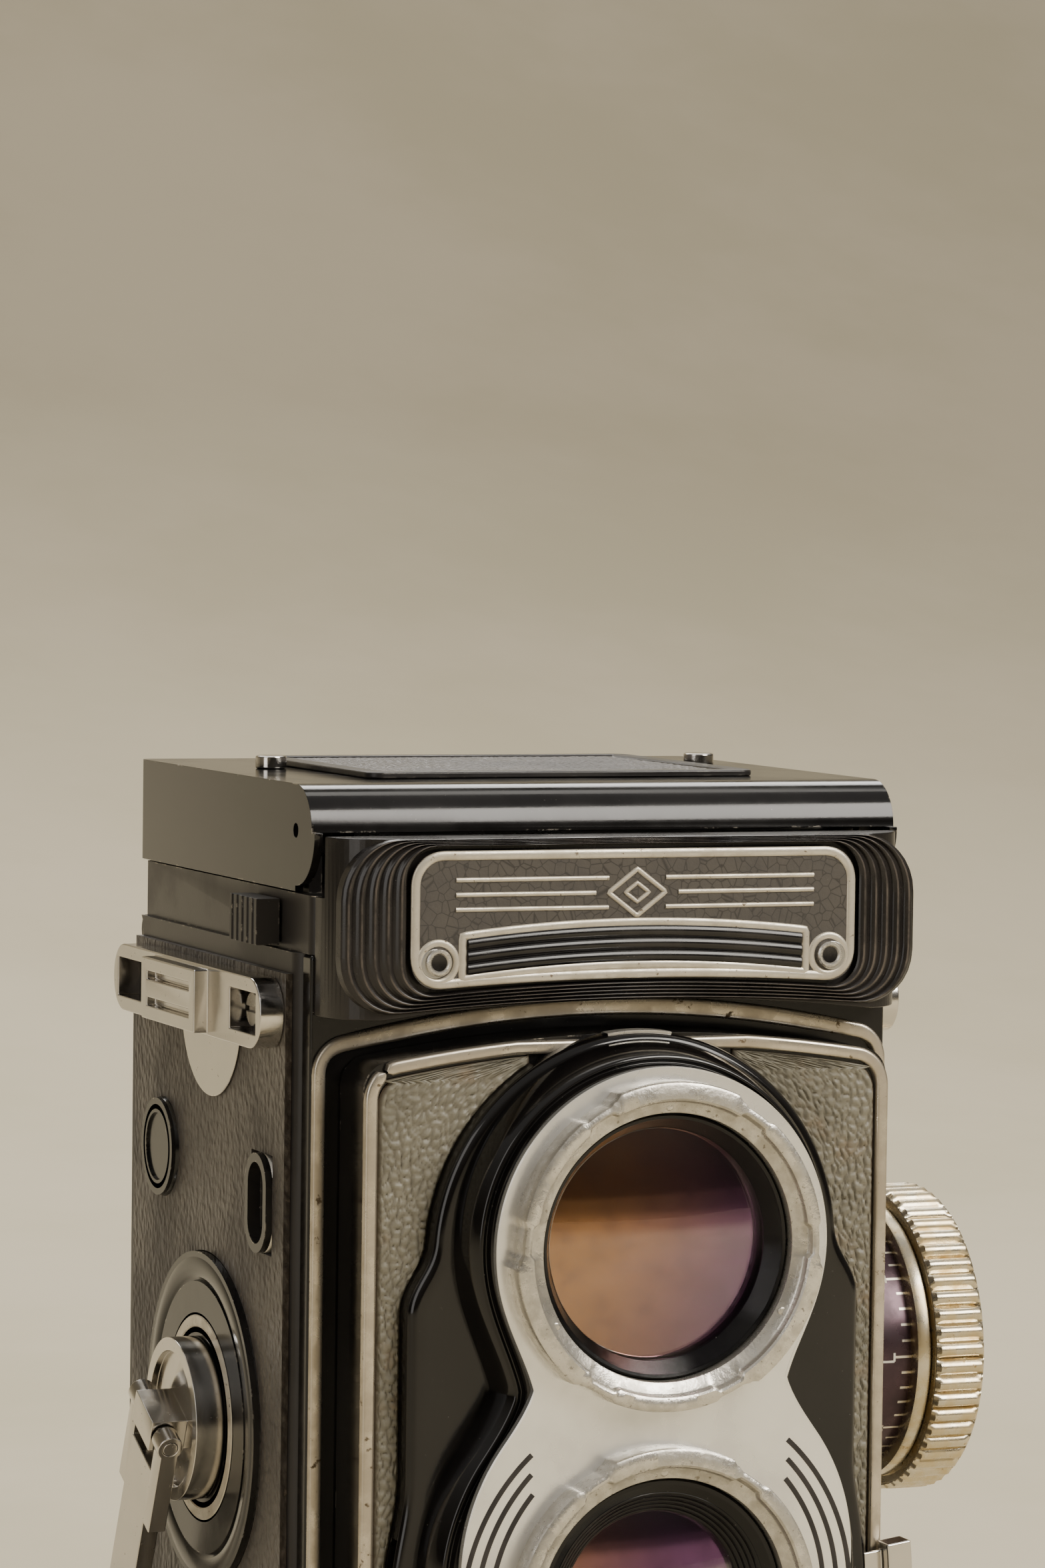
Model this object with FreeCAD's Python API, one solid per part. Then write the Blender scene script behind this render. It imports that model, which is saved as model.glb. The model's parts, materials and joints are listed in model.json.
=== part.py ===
import FreeCAD, Part
import math
import os
from FreeCAD import Vector

# Twin lens reflex camera for 6x6 roll film, in millimetres.
# Origin: centre of the tripod socket's mouth, level with the feet. +Z up, front towards -Y.

os.makedirs("parts", exist_ok=True)

# ---- overall sizes -------------------------------------------------------------------
body_width = 76.0            # over the side leather
body_depth = 58.5            # front wall's face to the back door's seam
body_height = 119.5          # feet to the top of the casting
front_y = -25.5              # front wall's outer face
wall = 2.0                   # casting wall
leather = 0.8                # covering on the sides
running_gap = 0.3            # between pieces that pass each other
pin_gap = 0.05               # radial clearance of pins and shafts in their holes
floor_gap = 1.4              # feet's height under the door's bottom plate
door_thick = 2.5
lens_pitch = 42.0
taking_z = 45.0
bayonet_bore = 15.4          # radius
bayonet_rim = 19.2           # radius
focus_travel = 6.8
focus_turn = math.radians(300)

# ---- sizes that follow -----------------------------------------------------------------
half = body_width / 2 - leather              # casting's half width
inner = half - wall
back_y = front_y + body_depth                # rear seam
inside_front = front_y + wall
bottom_z = floor_gap + door_thick + running_gap
top_z = body_height
viewing_z = taking_z + lens_pitch
hood_base_top = top_z + 6.8
lid_axis = Vector(0, front_y + 1.5, hood_base_top + 7.3)
lid_top = lid_axis.z + 5.4
lid_under = lid_top - 0.8
cam_rise = focus_travel / focus_turn         # mm per radian

X = Vector(1, 0, 0)
Y = Vector(0, 1, 0)
Z = Vector(0, 0, 1)
nodes = {}


def block(x, y, z):
    """Box between the two ends given for each direction."""
    return Part.makeBox(x[1] - x[0], y[1] - y[0], z[1] - z[0], Vector(x[0], y[0], z[0]))


def rod(radius, start, end):
    """Cylinder between two points."""
    start, end = Vector(*start), Vector(*end)
    return Part.makeCylinder(radius, (end - start).Length, start, end - start)


def tube(outer, bore, start, end):
    return rod(outer, start, end).cut(rod(bore, start, end))


def fuse(*shapes):
    return shapes[0].fuse(list(shapes[1:])).removeSplitter()


def mirrored(shape):
    """The same shape on the other side of the middle plane."""
    return shape.mirror(Vector(0, 0, 0), X)


def pair(shape):
    """Two separate solids, one on each side."""
    return Part.makeCompound([shape, mirrored(shape)])


def panel(points, y):
    """Plate with the outline points (x, z), between two depths y."""
    wire = Part.makePolygon([Vector(px, y[0], pz) for px, pz in points + points[:1]])
    return Part.Face(wire).extrude(Vector(0, y[1] - y[0], 0))


def side_panel(points, x):
    """Plate with the outline points (y, z), between two places x."""
    wire = Part.makePolygon([Vector(x[0], py, pz) for py, pz in points + points[:1]])
    return Part.Face(wire).extrude(Vector(x[1] - x[0], 0, 0))


def rounded(shape, radius, keep):
    """Fillet the straight edges that keep(edge) picks."""
    edges = [e for e in shape.Edges if keep(e)]
    return shape.makeFillet(radius, edges) if edges else shape


def runs_along(axis):
    """Picks the straight edges that lie along an axis."""
    def test(edge):
        if edge.Curve.TypeId != "Part::GeomLine":
            return False
        return abs(edge.tangentAt(edge.FirstParameter).dot(axis)) > 0.999
    return test


def arch(half_width, z_low, z_side, z_top, y, corner=3.0):
    """Plate with straight sides and a shallow arched top, its corners rounded."""
    rise = z_top - z_side
    radius = (half_width ** 2 + rise ** 2) / (2 * rise)
    plate = block((-half_width, half_width), y, (z_low, z_top))
    crown = rod(radius, (0, y[0] - 1, z_top - radius), (0, y[1] + 1, z_top - radius))
    plate = plate.common(crown).removeSplitter()
    return rounded(plate, corner, runs_along(Y))


def figure_eight(upper, lower, waist, y):
    """Two discs on the lens axes, joined by a waist that runs smoothly into both."""
    body = fuse(rod(upper, (0, y[0], viewing_z), (0, y[1], viewing_z)),
                rod(lower, (0, y[0], taking_z), (0, y[1], taking_z)),
                block((-waist, waist), y, (taking_z, viewing_z)))
    return rounded(body, 5.0, lambda e: runs_along(Y)(e) and taking_z + 5 < e.CenterOfMass.z < viewing_z - 5)


def lens_hole(radius, z, y):
    return rod(radius, (0, y[0], z), (0, y[1], z))


def gear(teeth, module, bore, x, centre, turn=0.0):
    """Spur gear in the YZ plane: short tapered teeth on a disc, with a bore."""
    pitch = teeth * module / 2
    step = 2 * math.pi / teeth
    ring = []
    for i in range(teeth):
        for part_of_step, radius in ((-0.30, pitch - 0.75 * module), (-0.11, pitch + 0.6 * module),
                                     (0.11, pitch + 0.6 * module), (0.30, pitch - 0.75 * module)):
            a = turn + (i + part_of_step) * step
            ring.append((centre[0] + radius * math.cos(a), centre[1] + radius * math.sin(a)))
    wheel = side_panel(ring, x)
    return wheel.cut(rod(bore, (x[0] - 1, *centre), (x[1] + 1, *centre)))


def save(name, shape):
    nodes[name] = shape


# ---- body casting and what is fixed to it -------------------------------------------
mirror_y = front_y + 30.0                    # where the viewing axis meets the mirror
screen_x = 28.0
screen_y = (inside_front + 1.5, back_y - 2.5)
focus_axis = (front_y + 19.5, taking_z + 23.1)                    # y, z of the focusing shaft
focus_shaft_r = 2.5
crank_axis = (front_y + 28.5, taking_z + 16.0)
gear_module = 0.6
crank_teeth = 50
take_up_teeth = 40
pinion_teeth = 16
dial_teeth = 62
rod_places = [(x, z) for x in (-27.8, 27.8) for z in (taking_z - 11.0, viewing_z + 16.0)]
rod_r = 1.5
follower_x = 28.7
drive_distance = (crank_teeth + take_up_teeth) * gear_module / 2
take_up_axis = (crank_axis[0] + 17.0, crank_axis[1] + math.sqrt(drive_distance ** 2 - 17.0 ** 2))
supply_axis = (front_y + 16.5, taking_z - 27.0)
shaft_r = 2.0
dial_distance = (pinion_teeth + dial_teeth) * gear_module / 2
dial_axis = (crank_axis[0] - 5.5, crank_axis[1] + math.sqrt(dial_distance ** 2 - 5.5 ** 2))
window_centre = (crank_axis[0] - 19.3, crank_axis[1] + 28.5)
window_size = (7.5, 11.8)
cap_centre = (crank_axis[0] + 17.4, crank_axis[1] + 30.8)
spool_half = inner - 2.6
spool_flange_r = 12.5
knob_pull = 5.0
door_axis = (back_y + 1.2, top_z - 2.0)
barrel_r = 1.9
door_pin_r = 0.8
door_knuckle = 19.7
roller_r = 3.0
roller_half = 29.4
roller_places = [(back_y - 4.2, taking_z + 34.2), (back_y - 4.2, taking_z - 34.2)]


def make_casting():
    """Die-cast box, open at the back and the bottom, with a screen opening and lens holes."""
    body = block((-half, half), (front_y, back_y), (bottom_z, top_z))
    body = rounded(body, 2.0, lambda e: runs_along(Z)(e) and e.CenterOfMass.y < 0)
    body = body.cut(block((-inner, inner), (inside_front, back_y + 1), (bottom_z - 1, top_z - wall)))
    body = body.cut(block((-screen_x, screen_x), screen_y, (top_z - wall - 1, top_z + 1)))
    # hole for the door's bolt
    body = body.cut(block((-3.3, 3.3), (front_y - 1, inside_front + 1), (bottom_z - 1, bottom_z + 1.4)))
    for z in (viewing_z, taking_z):
        body = body.cut(lens_hole(16.5, z, (front_y - 1, inside_front + 1)))
    for x, z in rod_places:
        body = body.cut(rod(rod_r + pin_gap, (x, front_y - 1, z), (x, inside_front + 1, z)))
    for x in (-follower_x, follower_x):
        slot = block((x - 1.5, x + 1.5), (front_y - 1, inside_front + 1), (focus_axis[1] - 1.5, focus_axis[1] + 1.5))
        body = body.cut(slot)
    # right side: focusing shaft's bush and the two spool knobs; left side: crank and counter
    body = body.cut(rod(4.0, (0, *focus_axis), (half + 1, *focus_axis)))
    for centre in (take_up_axis, supply_axis):
        body = body.cut(rod(3.0 + pin_gap, (0, *centre), (half + 1, *centre)))
    body = body.cut(rod(4.0 + pin_gap, (0, *crank_axis), (-half - 1, *crank_axis)))
    body = body.cut(block((-half - 1, 0), (window_centre[0] - 2.5, window_centre[0] + 2.5),
                          (window_centre[1] - 4.5, window_centre[1] + 4.5)))
    body = body.cut(rod(shaft_r + pin_gap, (-inner - 1.2, *take_up_axis), (-inner + 1, *take_up_axis)))
    body = body.fuse(rod(shaft_r, (-inner - 0.5, *supply_axis), (-spool_half + 2.4, *supply_axis)))
    # post for the counter dial
    body = body.fuse(rod(1.5, (-inner - 0.5, *dial_axis), (-inner + 1.4, *dial_axis)))
    # rear edge gives way to the door's hinge barrel, and carries its two outer knuckles
    body = body.cut(rod(2.6, (-half - 1, *door_axis), (half + 1, *door_axis)))
    for side in (-1, 1):
        xs = sorted((side * (door_knuckle + running_gap), side * (half - 1.2)))
        knuckle = rod(barrel_r, (xs[0], *door_axis), (xs[1], *door_axis))
        web = block(xs, (door_axis[0] - 3.4, door_axis[0]), (door_axis[1] - 0.6, door_axis[1] + 0.6))
        body = body.fuse(knuckle).fuse(web)
    body = body.cut(rod(door_pin_r, (-half - 1, *door_axis), (half + 1, *door_axis)))
    return body.removeSplitter()


def side_leather(side):
    """Covering of one side, cut round the fittings."""
    x = (side * half, side * (half + leather))
    sheet = block((min(x), max(x)), (front_y + 1.5, back_y - 1.0), (bottom_z + 1.5, top_z - 2.5))
    cuts = []
    if side < 0:
        cuts.append(rod(20.0 + 0.1, (-half - 2, *crank_axis), (0, *crank_axis)))
        cuts.append(rod(6.1, (-half - 2, *cap_centre), (0, *cap_centre)))
        cuts.append(block((-half - 2, 0), (window_centre[0] - window_size[0] / 2, window_centre[0] + window_size[0] / 2),
                          (window_centre[1] - window_size[1] / 2, window_centre[1] + window_size[1] / 2)))
    else:
        cuts.append(rod(6.0, (0, *focus_axis), (half + 2, *focus_axis)))
        for centre in (take_up_axis, supply_axis):
            cuts.append(rod(8.0, (0, *centre), (half + 2, *centre)))
    for cut in cuts:
        sheet = sheet.cut(cut)
    return sheet


frame_y = (front_y - 3.1, front_y)
board_half = half - 4.2
board_side_z = top_z - 12.1
board_top_z = board_side_z + 3.1
board_low_z = 12.0
board_face = front_y - 11.1
skirt_half = board_half - 2.0


def make_front_frame():
    """Front frame of the body: the moving front's skirt runs in its opening."""
    frame = block((-half + 0.6, half - 0.6), frame_y, (5.0, top_z))
    frame = rounded(frame, 2.5, lambda e: runs_along(Y)(e) and e.CenterOfMass.z < 20)
    opening = arch(skirt_half + running_gap, board_low_z + 2 - running_gap, board_side_z - 2.2 + running_gap,
                   board_top_z - 2 + running_gap, (frame_y[0] - 1, frame_y[1] + 1))
    return frame.cut(opening)


def make_bead():
    """Bright bead round the front frame, arched at the top."""
    y = (frame_y[0] - 0.9, frame_y[0])
    outer = arch(half - 0.8, 6.0, top_z - 10.2, top_z - 5.6, y, 3.2)
    return outer.cut(arch(half - 2.2, 7.4, top_z - 11.3, top_z - 7.0, (y[0] - 1, y[1] + 1), 2.2))


casting = make_casting()
save("body_casting", casting)
save("side_leather", Part.makeCompound([side_leather(-1), side_leather(1)]))
save("front_frame", make_front_frame())
save("front_frame_bead", make_bead())

# ---- nameplate housing over the lenses ------------------------------------------------
housing_half = half - 1.0
housing_face = front_y - 11.3
housing_z = (top_z - 6.9, top_z + 13.8)
panel_half = housing_half - 7.7
panel_z = (housing_z[0] + 3.0, housing_z[1] - 1.3)
insert_half = panel_half - 7.3
insert_z = (housing_z[0] + 5.0, housing_z[0] + 10.0)
housing_screw = (panel_half - 3.5, housing_z[0] + 6.5)


def make_housing():
    """Housing with stepped ribs round both front corners and an arched lower edge."""
    body = block((-housing_half, housing_half), (housing_face, frame_y[0]), housing_z)
    body = rounded(body, 7.0, lambda e: runs_along(Z)(e) and e.CenterOfMass.y < housing_face + 1)
    sag = 1.8
    chord = housing_half - 5.2
    radius = (chord ** 2 + sag ** 2) / (2 * sag)
    arch_z = housing_z[0] + sag - radius
    body = body.cut(rod(radius, (0, housing_face - 1, arch_z), (0, frame_y[0] + 1, arch_z)))
    # the lid's cheeks turn behind the upper half
    body = body.cut(block((-half - 5, half + 5), (front_y - 5.7, 0), (hood_base_top, hood_base_top + 20)))
    for x, z in ((-housing_screw[0], housing_screw[1]), housing_screw):
        body = body.cut(rod(0.8, (x, housing_face - 1, z), (x, housing_face + 3, z)))
    return body


def make_name_panel():
    """Bordered panel with an opening for the ribbed cover; its field carries a plain ornament."""
    y = (housing_face - 0.9, housing_face)
    body = block((-panel_half, panel_half), y, panel_z)
    body = rounded(body, 2.7, runs_along(Y))
    body = body.cut(block((-panel_half + 1.2, panel_half - 1.2), (y[0] - 1, y[0] + 0.4),
                          (panel_z[0] + 1.2, panel_z[1] - 1.2)))
    body = body.cut(block((-insert_half, insert_half), (y[0] - 1, y[1] + 1), insert_z))
    for x in (-housing_screw[0], housing_screw[0]):
        body = body.cut(rod(1.8, (x, y[0] - 1, housing_screw[1]), (x, y[1] + 1, housing_screw[1])))
    return body


def make_ribbed_cover():
    """Cover of the light cell: three long ribs on a plate."""
    z0, z1 = insert_z[0] + 0.1, insert_z[1] - 0.1
    x = (-insert_half + 0.1, insert_half - 0.1)
    body = block(x, (housing_face - 0.5, housing_face), (z0, z1))
    for k in range(3):
        centre = z0 + (z1 - z0) * (k + 0.5) / 3
        body = body.fuse(block(x, (housing_face - 1.1, housing_face - 0.4), (centre - 0.45, centre + 0.45)))
    return body.removeSplitter()


def make_housing_screws():
    """Two round-headed screws with a hollow in the head."""
    x, z = housing_screw
    head = rod(1.7, (x, housing_face - 1.3, z), (x, housing_face, z))
    head = head.fuse(rod(0.8, (x, housing_face, z), (x, housing_face + 2.8, z)))
    head = head.cut(rod(0.7, (x, housing_face - 2, z), (x, housing_face - 0.6, z)))
    return [head.removeSplitter(), mirrored(head.removeSplitter())]


save("nameplate_housing", make_housing())
save("nameplate_panel", make_name_panel())
save("ribbed_cell_cover", make_ribbed_cover())

# ---- mirror, screen, film chamber ------------------------------------------------------


def tilted_plate(half_x, half_run, thickness, offset):
    """Plate at 45 degrees through the mirror's middle, its back set off from the light path."""
    plate = block((-half_x, half_x), (-half_run, half_run), (-offset - thickness, -offset))
    plate.rotate(Vector(0, 0, 0), X, 45)
    plate.translate(Vector(0, mirror_y, viewing_z))
    return plate


save("reflex_mirror", Part.makeCompound([tilted_plate(25.0, 31.0, 1.2, 0.0), tilted_plate(25.5, 31.5, 0.8, 1.2)]))

chamber_back = back_y - 2.0
chamber_front = inside_front
gate_half = 28.0


def make_chamber():
    """Tapered light chamber from the taking lens's hole to the film gate."""
    def taper(grow, y0, y1):
        lens, gate = 17.0 + grow, gate_half + grow
        def ring(y, h):
            return Part.makePolygon([Vector(sx * h, y, taking_z + sz * h) for sx, sz in
                                     ((-1, -1), (1, -1), (1, 1), (-1, 1), (-1, -1))])
        return Part.makeLoft([ring(y0, lens), ring(y1, gate)], True, True)
    front = -2.0
    outer = taper(1.2, front, chamber_back)
    bore = taper(0.0, front - 0.01, chamber_back + 0.01)
    body = outer.cut(bore)
    neck = tube(18.0, 16.8, (0, chamber_front, taking_z), (0, front + 0.4, taking_z))
    ring = block((-18.2, 18.2), (front, front + 1.2), (taking_z - 18.2, taking_z + 18.2))
    ring = ring.cut(rod(16.8, (0, front - 1, taking_z), (0, front + 2, taking_z)))
    gate = block((-31.0, 31.0), (chamber_back - 1.4, chamber_back), (taking_z - 30.5, taking_z + 30.5))
    gate = gate.cut(block((-gate_half, gate_half), (chamber_back - 3, chamber_back + 1),
                          (taking_z - gate_half, taking_z + gate_half)))
    whole = body.fuse([neck, ring, gate]).removeSplitter()
    # tabs that carry the two film rollers
    for y, z in roller_places:
        for side in (-1, 1):
            xs = sorted((side * (roller_half + 0.3), side * 31.0))
            zs = sorted((z + math.copysign(2.2, z - taking_z), taking_z + math.copysign(29.5, z - taking_z)))
            whole = whole.fuse(block(xs, (y - 2.0, chamber_back), zs))
            whole = whole.cut(rod(1.0 + pin_gap, (xs[0] - 1, y, z), (xs[1] + 1, y, z)))
    return whole.removeSplitter()


save("film_chamber", make_chamber())

# ---- moving front: board, surround, lenses -----------------------------------------------
board_back = frame_y[0] - 0.4
rod_end = -12.0
cam_low_r = 5.0
follower_gap = 0.35
follower_r = 0.75
trim_y = (board_face - 0.9, board_face)
surround_base_y = (board_face - 3.4, board_face)
surround_y = (front_y - 20.5, board_face - 3.4)
face_plate_y = (surround_y[0] - 1.0, surround_y[0])
bayonet_y = (surround_y[0] - 4.0, surround_y[0])
barrel_outer = 15.0
waist = 15.0 * lens_pitch / 42.0        # face plate's half width between the lenses
bayonet_land = 2.4               # length of the bore that filters slide in
release_x = -(board_half - 7.5)
release_z = 18.5
lever_y = (surround_base_y[0] + 0.8, surround_base_y[0] + 2.5)
lever_ring = (16.0, 25.0)
lever_sweep = math.radians(20)
lever_rest = (math.radians(3), math.radians(190))


def surround_outline(y):
    """Wide base of the lens surround: two discs and a rectangle with rounded shoulders."""
    middle = block((-28.4, 28.4), y, (taking_z - 18.0, viewing_z - 2.0))
    middle = rounded(middle, 6.0, runs_along(Y))
    return fuse(rod(25.4, (0, y[0], viewing_z - 1.6), (0, y[1], viewing_z - 1.6)), middle,
                rod(30.2, (0, y[0], taking_z), (0, y[1], taking_z)))


def make_board():
    """Hollow board with an arched top and a skirt that slides in the front frame."""
    body = arch(board_half, board_low_z, board_side_z, board_top_z, (board_face, board_back), 3.4)
    hollow = arch(board_half - 1.8, board_low_z + 1.8, board_side_z - 1.8, board_top_z - 1.8,
                  (board_face + 1.6, board_back + 1), 2.4)
    skirt = arch(skirt_half, board_low_z + 2, board_side_z - 2.2, board_top_z - 2, (board_face + 1, front_y - 0.5), 2.2)
    hole = arch(skirt_half - 1.2, board_low_z + 3.2, board_side_z - 3.4, board_top_z - 3.2,
                (board_face + 1.6, front_y + 1), 1.8)
    body = body.cut(hollow).fuse(skirt).cut(hole)
    for z in (viewing_z, taking_z):
        body = body.cut(lens_hole(barrel_outer + pin_gap, z, (board_face - 1, board_face + 3)))
    body = body.cut(rod(2.0 + pin_gap, (release_x, board_face - 1, release_z), (release_x, board_face + 3, release_z)))
    body = body.cut(rod(2.4, (-release_x, board_face - 1, release_z), (-release_x, board_face + 3, release_z)))
    # brackets inside the skirt that hold the guide rods and the two focusing followers
    for x, z in rod_places + [(follower_x, focus_axis[1]), (-follower_x, focus_axis[1])]:
        xs = sorted((math.copysign(25.8, x), math.copysign(skirt_half - 1.1, x)))
        body = body.fuse(block(xs, (board_face + 1, front_y - 2.0), (z - 2.5, z + 2.5)))
        if abs(z - focus_axis[1]) > 1:
            body = body.fuse(rod(rod_r, (x, front_y - 2.5, z), (x, rod_end, z)))
    tip = focus_axis[0] - cam_low_r - follower_gap
    for side in (-1, 1):
        xs = sorted((side * (follower_x - 1.0), side * (follower_x + 1.0)))
        z = focus_axis[1]
        body = body.fuse(block(xs, (front_y - 2.5, tip - follower_r), (z - follower_r, z + follower_r)))
        body = body.fuse(rod(follower_r, (xs[0], tip - follower_r, z), (xs[1], tip - follower_r, z)))
    return body.removeSplitter()


def make_trim():
    """Bright trim on the board's edge, open across the lens surround."""
    outer = arch(board_half, board_low_z, board_side_z, board_top_z, trim_y, 3.4)
    hole = arch(board_half - 1.5, board_low_z + 1.5, board_side_z - 1.5, board_top_z - 1.5,
                (trim_y[0] - 1, trim_y[1] + 1), 2.2)
    ring = outer.cut(hole)
    gap = block((-14.4, 14.4), (trim_y[0] - 1, trim_y[1] + 1), (viewing_z, board_top_z + 2))
    return ring.cut(gap).cut(surround_outline((trim_y[0] - 1, trim_y[1] + 1)))


def make_board_leather():
    """Leather of the board between the trim and the surround, one piece each side."""
    y = (board_face - 0.6, board_face)
    sheet = arch(board_half - 1.7, board_low_z + 1.7, board_side_z - 1.7, board_top_z - 1.7, y, 2.2)
    sheet = sheet.cut(surround_outline((y[0] - 1, y[1] + 1)))
    sheet = sheet.cut(rod(4.2, (release_x, y[0] - 1, release_z), (release_x, y[1] + 1, release_z)))
    left = sheet.common(block((-40, 0), (y[0] - 1, y[1] + 1), (0, 130)))
    right = sheet.common(block((0, 40), (y[0] - 1, y[1] + 1), (0, 130)))
    return Part.makeCompound([left, right.cut(rod(4.2, (-release_x, y[0] - 1, release_z), (-release_x, y[1] + 1, release_z)))])


def make_surround():
    """Gloss figure-eight housing round both lenses, with a peep window at the top."""
    base = surround_outline(surround_base_y)
    rim = figure_eight(22.8, 27.0, waist + 2.6, surround_y)
    body = base.fuse(rim).removeSplitter()
    for z in (viewing_z, taking_z):
        body = body.cut(lens_hole(barrel_outer + pin_gap, z, (-60, board_face + 1)))
    body = body.cut(block((-4.0, 4.0), (board_face - 4.9, board_face - 1.4), (viewing_z + 22.0, viewing_z + 27.0)))
    # cavity for the two exposure levers, and the windows that their arms come out of
    cavity = rod(lever_ring[1] + 0.3, (0, lever_y[0], taking_z), (0, lever_y[1], taking_z))
    body = body.cut(cavity)
    for middle in lever_rest:
        body = body.cut(sector(lever_ring[1] - 1, 40.0, middle, lever_sweep + math.radians(6), lever_y))
    return body


def sector(r0, r1, middle, spread, y):
    """Part of a ring about the taking axis, spread radians to each side of a middle angle."""
    wedge = [(0.0, taking_z)]
    for t in (-1.0, -0.5, 0.0, 0.5, 1.0):
        a = middle + t * spread
        wedge.append((60 * math.cos(a), taking_z + 60 * math.sin(a)))
    ring = tube(r1, r0, (0, y[0], taking_z), (0, y[1], taking_z))
    return ring.common(panel(wedge, y))


def make_lever(k):
    """Exposure lever: a ring round the taking barrel, an arm and a ribbed thumb piece."""
    y = ((lever_y[0] + 0.15, lever_y[0] + 0.75), (lever_y[1] - 0.75, lever_y[1] - 0.15))[k]
    middle = lever_rest[k]
    ring = tube(lever_ring[1], lever_ring[0], (0, y[0], taking_z), (0, y[1], taking_z))
    arm = sector(lever_ring[1] - 1.5, 34.0, middle, math.radians(3.0), y)
    thumb = sector(32.5, 35.7, middle, math.radians(4.5), (surround_base_y[0] - 0.6, trim_y[0] - 0.2))
    return ring.fuse([arm, thumb]).removeSplitter()


def make_face_plate():
    """Bright figure-eight plate behind the bayonets."""
    body = figure_eight(20.6, 24.4, waist, face_plate_y)
    for z in (viewing_z, taking_z):
        body = body.cut(lens_hole(bayonet_rim + 0.05, z, (-60, -40)))
    return body


def make_bayonet(z):
    """Ring with three lugs inside its mouth, which the filters and hoods lock behind."""
    y0, y1 = bayonet_y
    ring = tube(bayonet_rim, bayonet_bore, (0, y0 + 1.0, z), (0, y1, z))
    lip = tube(17.4, bayonet_bore, (0, y0, z), (0, y0 + 1.0, z))
    ring = ring.fuse(lip)
    for k in range(3):
        a = math.radians(90 + 120 * k)
        lobe = rod(2.6, (17.0 * math.cos(a), y0, z + 17.0 * math.sin(a)),
                   (17.0 * math.cos(a), y0 + 1.0, z + 17.0 * math.sin(a)))
        ring = ring.fuse(lobe.common(rod(bayonet_rim, (0, y0, z), (0, y0 + 1.0, z))))
    ring = ring.cut(rod(bayonet_bore, (0, y0 - 1, z), (0, y1 + 1, z)))
    return ring.cut(rod(bayonet_bore + 0.5, (0, y0 + bayonet_land, z), (0, y1 + 1, z))).removeSplitter()


def make_barrel(z, back):
    """Lens barrel: stepped tube from the bayonet to behind the board."""
    front = bayonet_y[0] + bayonet_land + 0.4
    body = tube(barrel_outer, 13.6, (0, front, z), (0, board_face + 1.6, z))
    collar = tube(16.0, 12.0, (0, board_face + 1.6, z), (0, back, z))
    seat = tube(13.7, 11.4, (0, front + 1.6, z), (0, front + 2.8, z))
    return body.fuse([collar, seat]).removeSplitter()


def make_element(z, y, radius, bulge, thick):
    """Lens element: a disc domed on its front face."""
    ball = (radius ** 2 + bulge ** 2) / (2 * bulge)
    disc = rod(radius, (0, y - bulge, z), (0, y + thick, z))
    return disc.common(Part.makeSphere(ball, Vector(0, y - bulge + ball, z)).fuse(
        rod(radius, (0, y, z), (0, y + thick, z))))


save("front_board", make_board())
save("board_trim", make_trim())
save("board_leather", make_board_leather())
save("lens_surround", make_surround())
save("face_plate", make_face_plate())
save("lens_bayonets", Part.makeCompound([make_bayonet(viewing_z), make_bayonet(taking_z)]))
barrel_back = front_y - 1.2
save("lens_barrels", Part.makeCompound([make_barrel(viewing_z, barrel_back), make_barrel(taking_z, board_face + 3.2)]))
glass_front = -42.9
elements = [make_element(z, glass_front, 13.5, 1.6, 1.4) for z in (viewing_z, taking_z)]
elements.append(make_element(viewing_z, -32.0, 11.9, 1.2, 1.6))
elements.append(block((-3.9, 3.9), (board_face - 4.4, board_face - 1.6), (viewing_z + 22.1, viewing_z + 22.9)))
save("lens_elements", Part.makeCompound(elements))

# ---- shutter in the board: housing, blades, release, levers ---------------------------------
shutter_y = (board_face + 3.2, front_y - 1.2)
shutter_r = 24.0
blade_hole = 10.0
blade_pivot = 15.5
release_travel = 2.5


def make_shutter_housing():
    """Round case with a chamber for three blades, open on the lens axis."""
    y0, y1 = shutter_y
    case = tube(shutter_r, blade_hole, (0, y0, taking_z), (0, y1, taking_z))
    case = case.cut(rod(shutter_r - 1.2, (0, y0 + 1.2, taking_z), (0, y1 - 1.2, taking_z)))
    for k in range(3):
        a = math.radians(90 + 120 * k)
        x, z = blade_pivot * math.cos(a), taking_z + blade_pivot * math.sin(a)
        case = case.fuse(rod(0.8, (x, y0 + 1.0, z), (x, y1 - 1.0, z)))
    return case.removeSplitter()


def make_blade(k):
    """Shutter blade: a sector with a hub at its pivot, in a layer of its own."""
    y = shutter_y[0] + 1.8 + 1.1 * k
    a = math.radians(90 + 120 * k)
    px, pz = blade_pivot * math.cos(a), taking_z + blade_pivot * math.sin(a)
    disc = rod(11.0, (0, y, taking_z), (0, y + 0.4, taking_z))
    hub = rod(2.2, (px, y, pz), (px, y + 0.4, pz))
    arm = rod(4.2, (px * 0.62, y, taking_z + (pz - taking_z) * 0.62),
              (px * 0.62, y + 0.4, taking_z + (pz - taking_z) * 0.62))
    blade = disc.common(rod(9.5, (px * 0.42, y, taking_z + (pz - taking_z) * 0.42),
                            (px * 0.42, y + 0.4, taking_z + (pz - taking_z) * 0.42)))
    blade = blade.fuse([arm, hub]).cut(rod(0.8 + pin_gap, (px, y - 1, pz), (px, y + 1, pz)))
    return blade.removeSplitter()


def make_release():
    """Release button with a threaded seat for a cable release."""
    y0 = board_face - 4.0
    body = rod(3.4, (release_x, y0 - 1.0, release_z), (release_x, y0 + 0.8, release_z))
    stem = rod(2.0, (release_x, y0 + 0.8, release_z), (release_x, board_face + 1.2, release_z))
    body = body.fuse(stem)
    return body.cut(rod(1.5, (release_x, y0 - 2, release_z), (release_x, y0 + 3.0, release_z))).removeSplitter()


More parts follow.
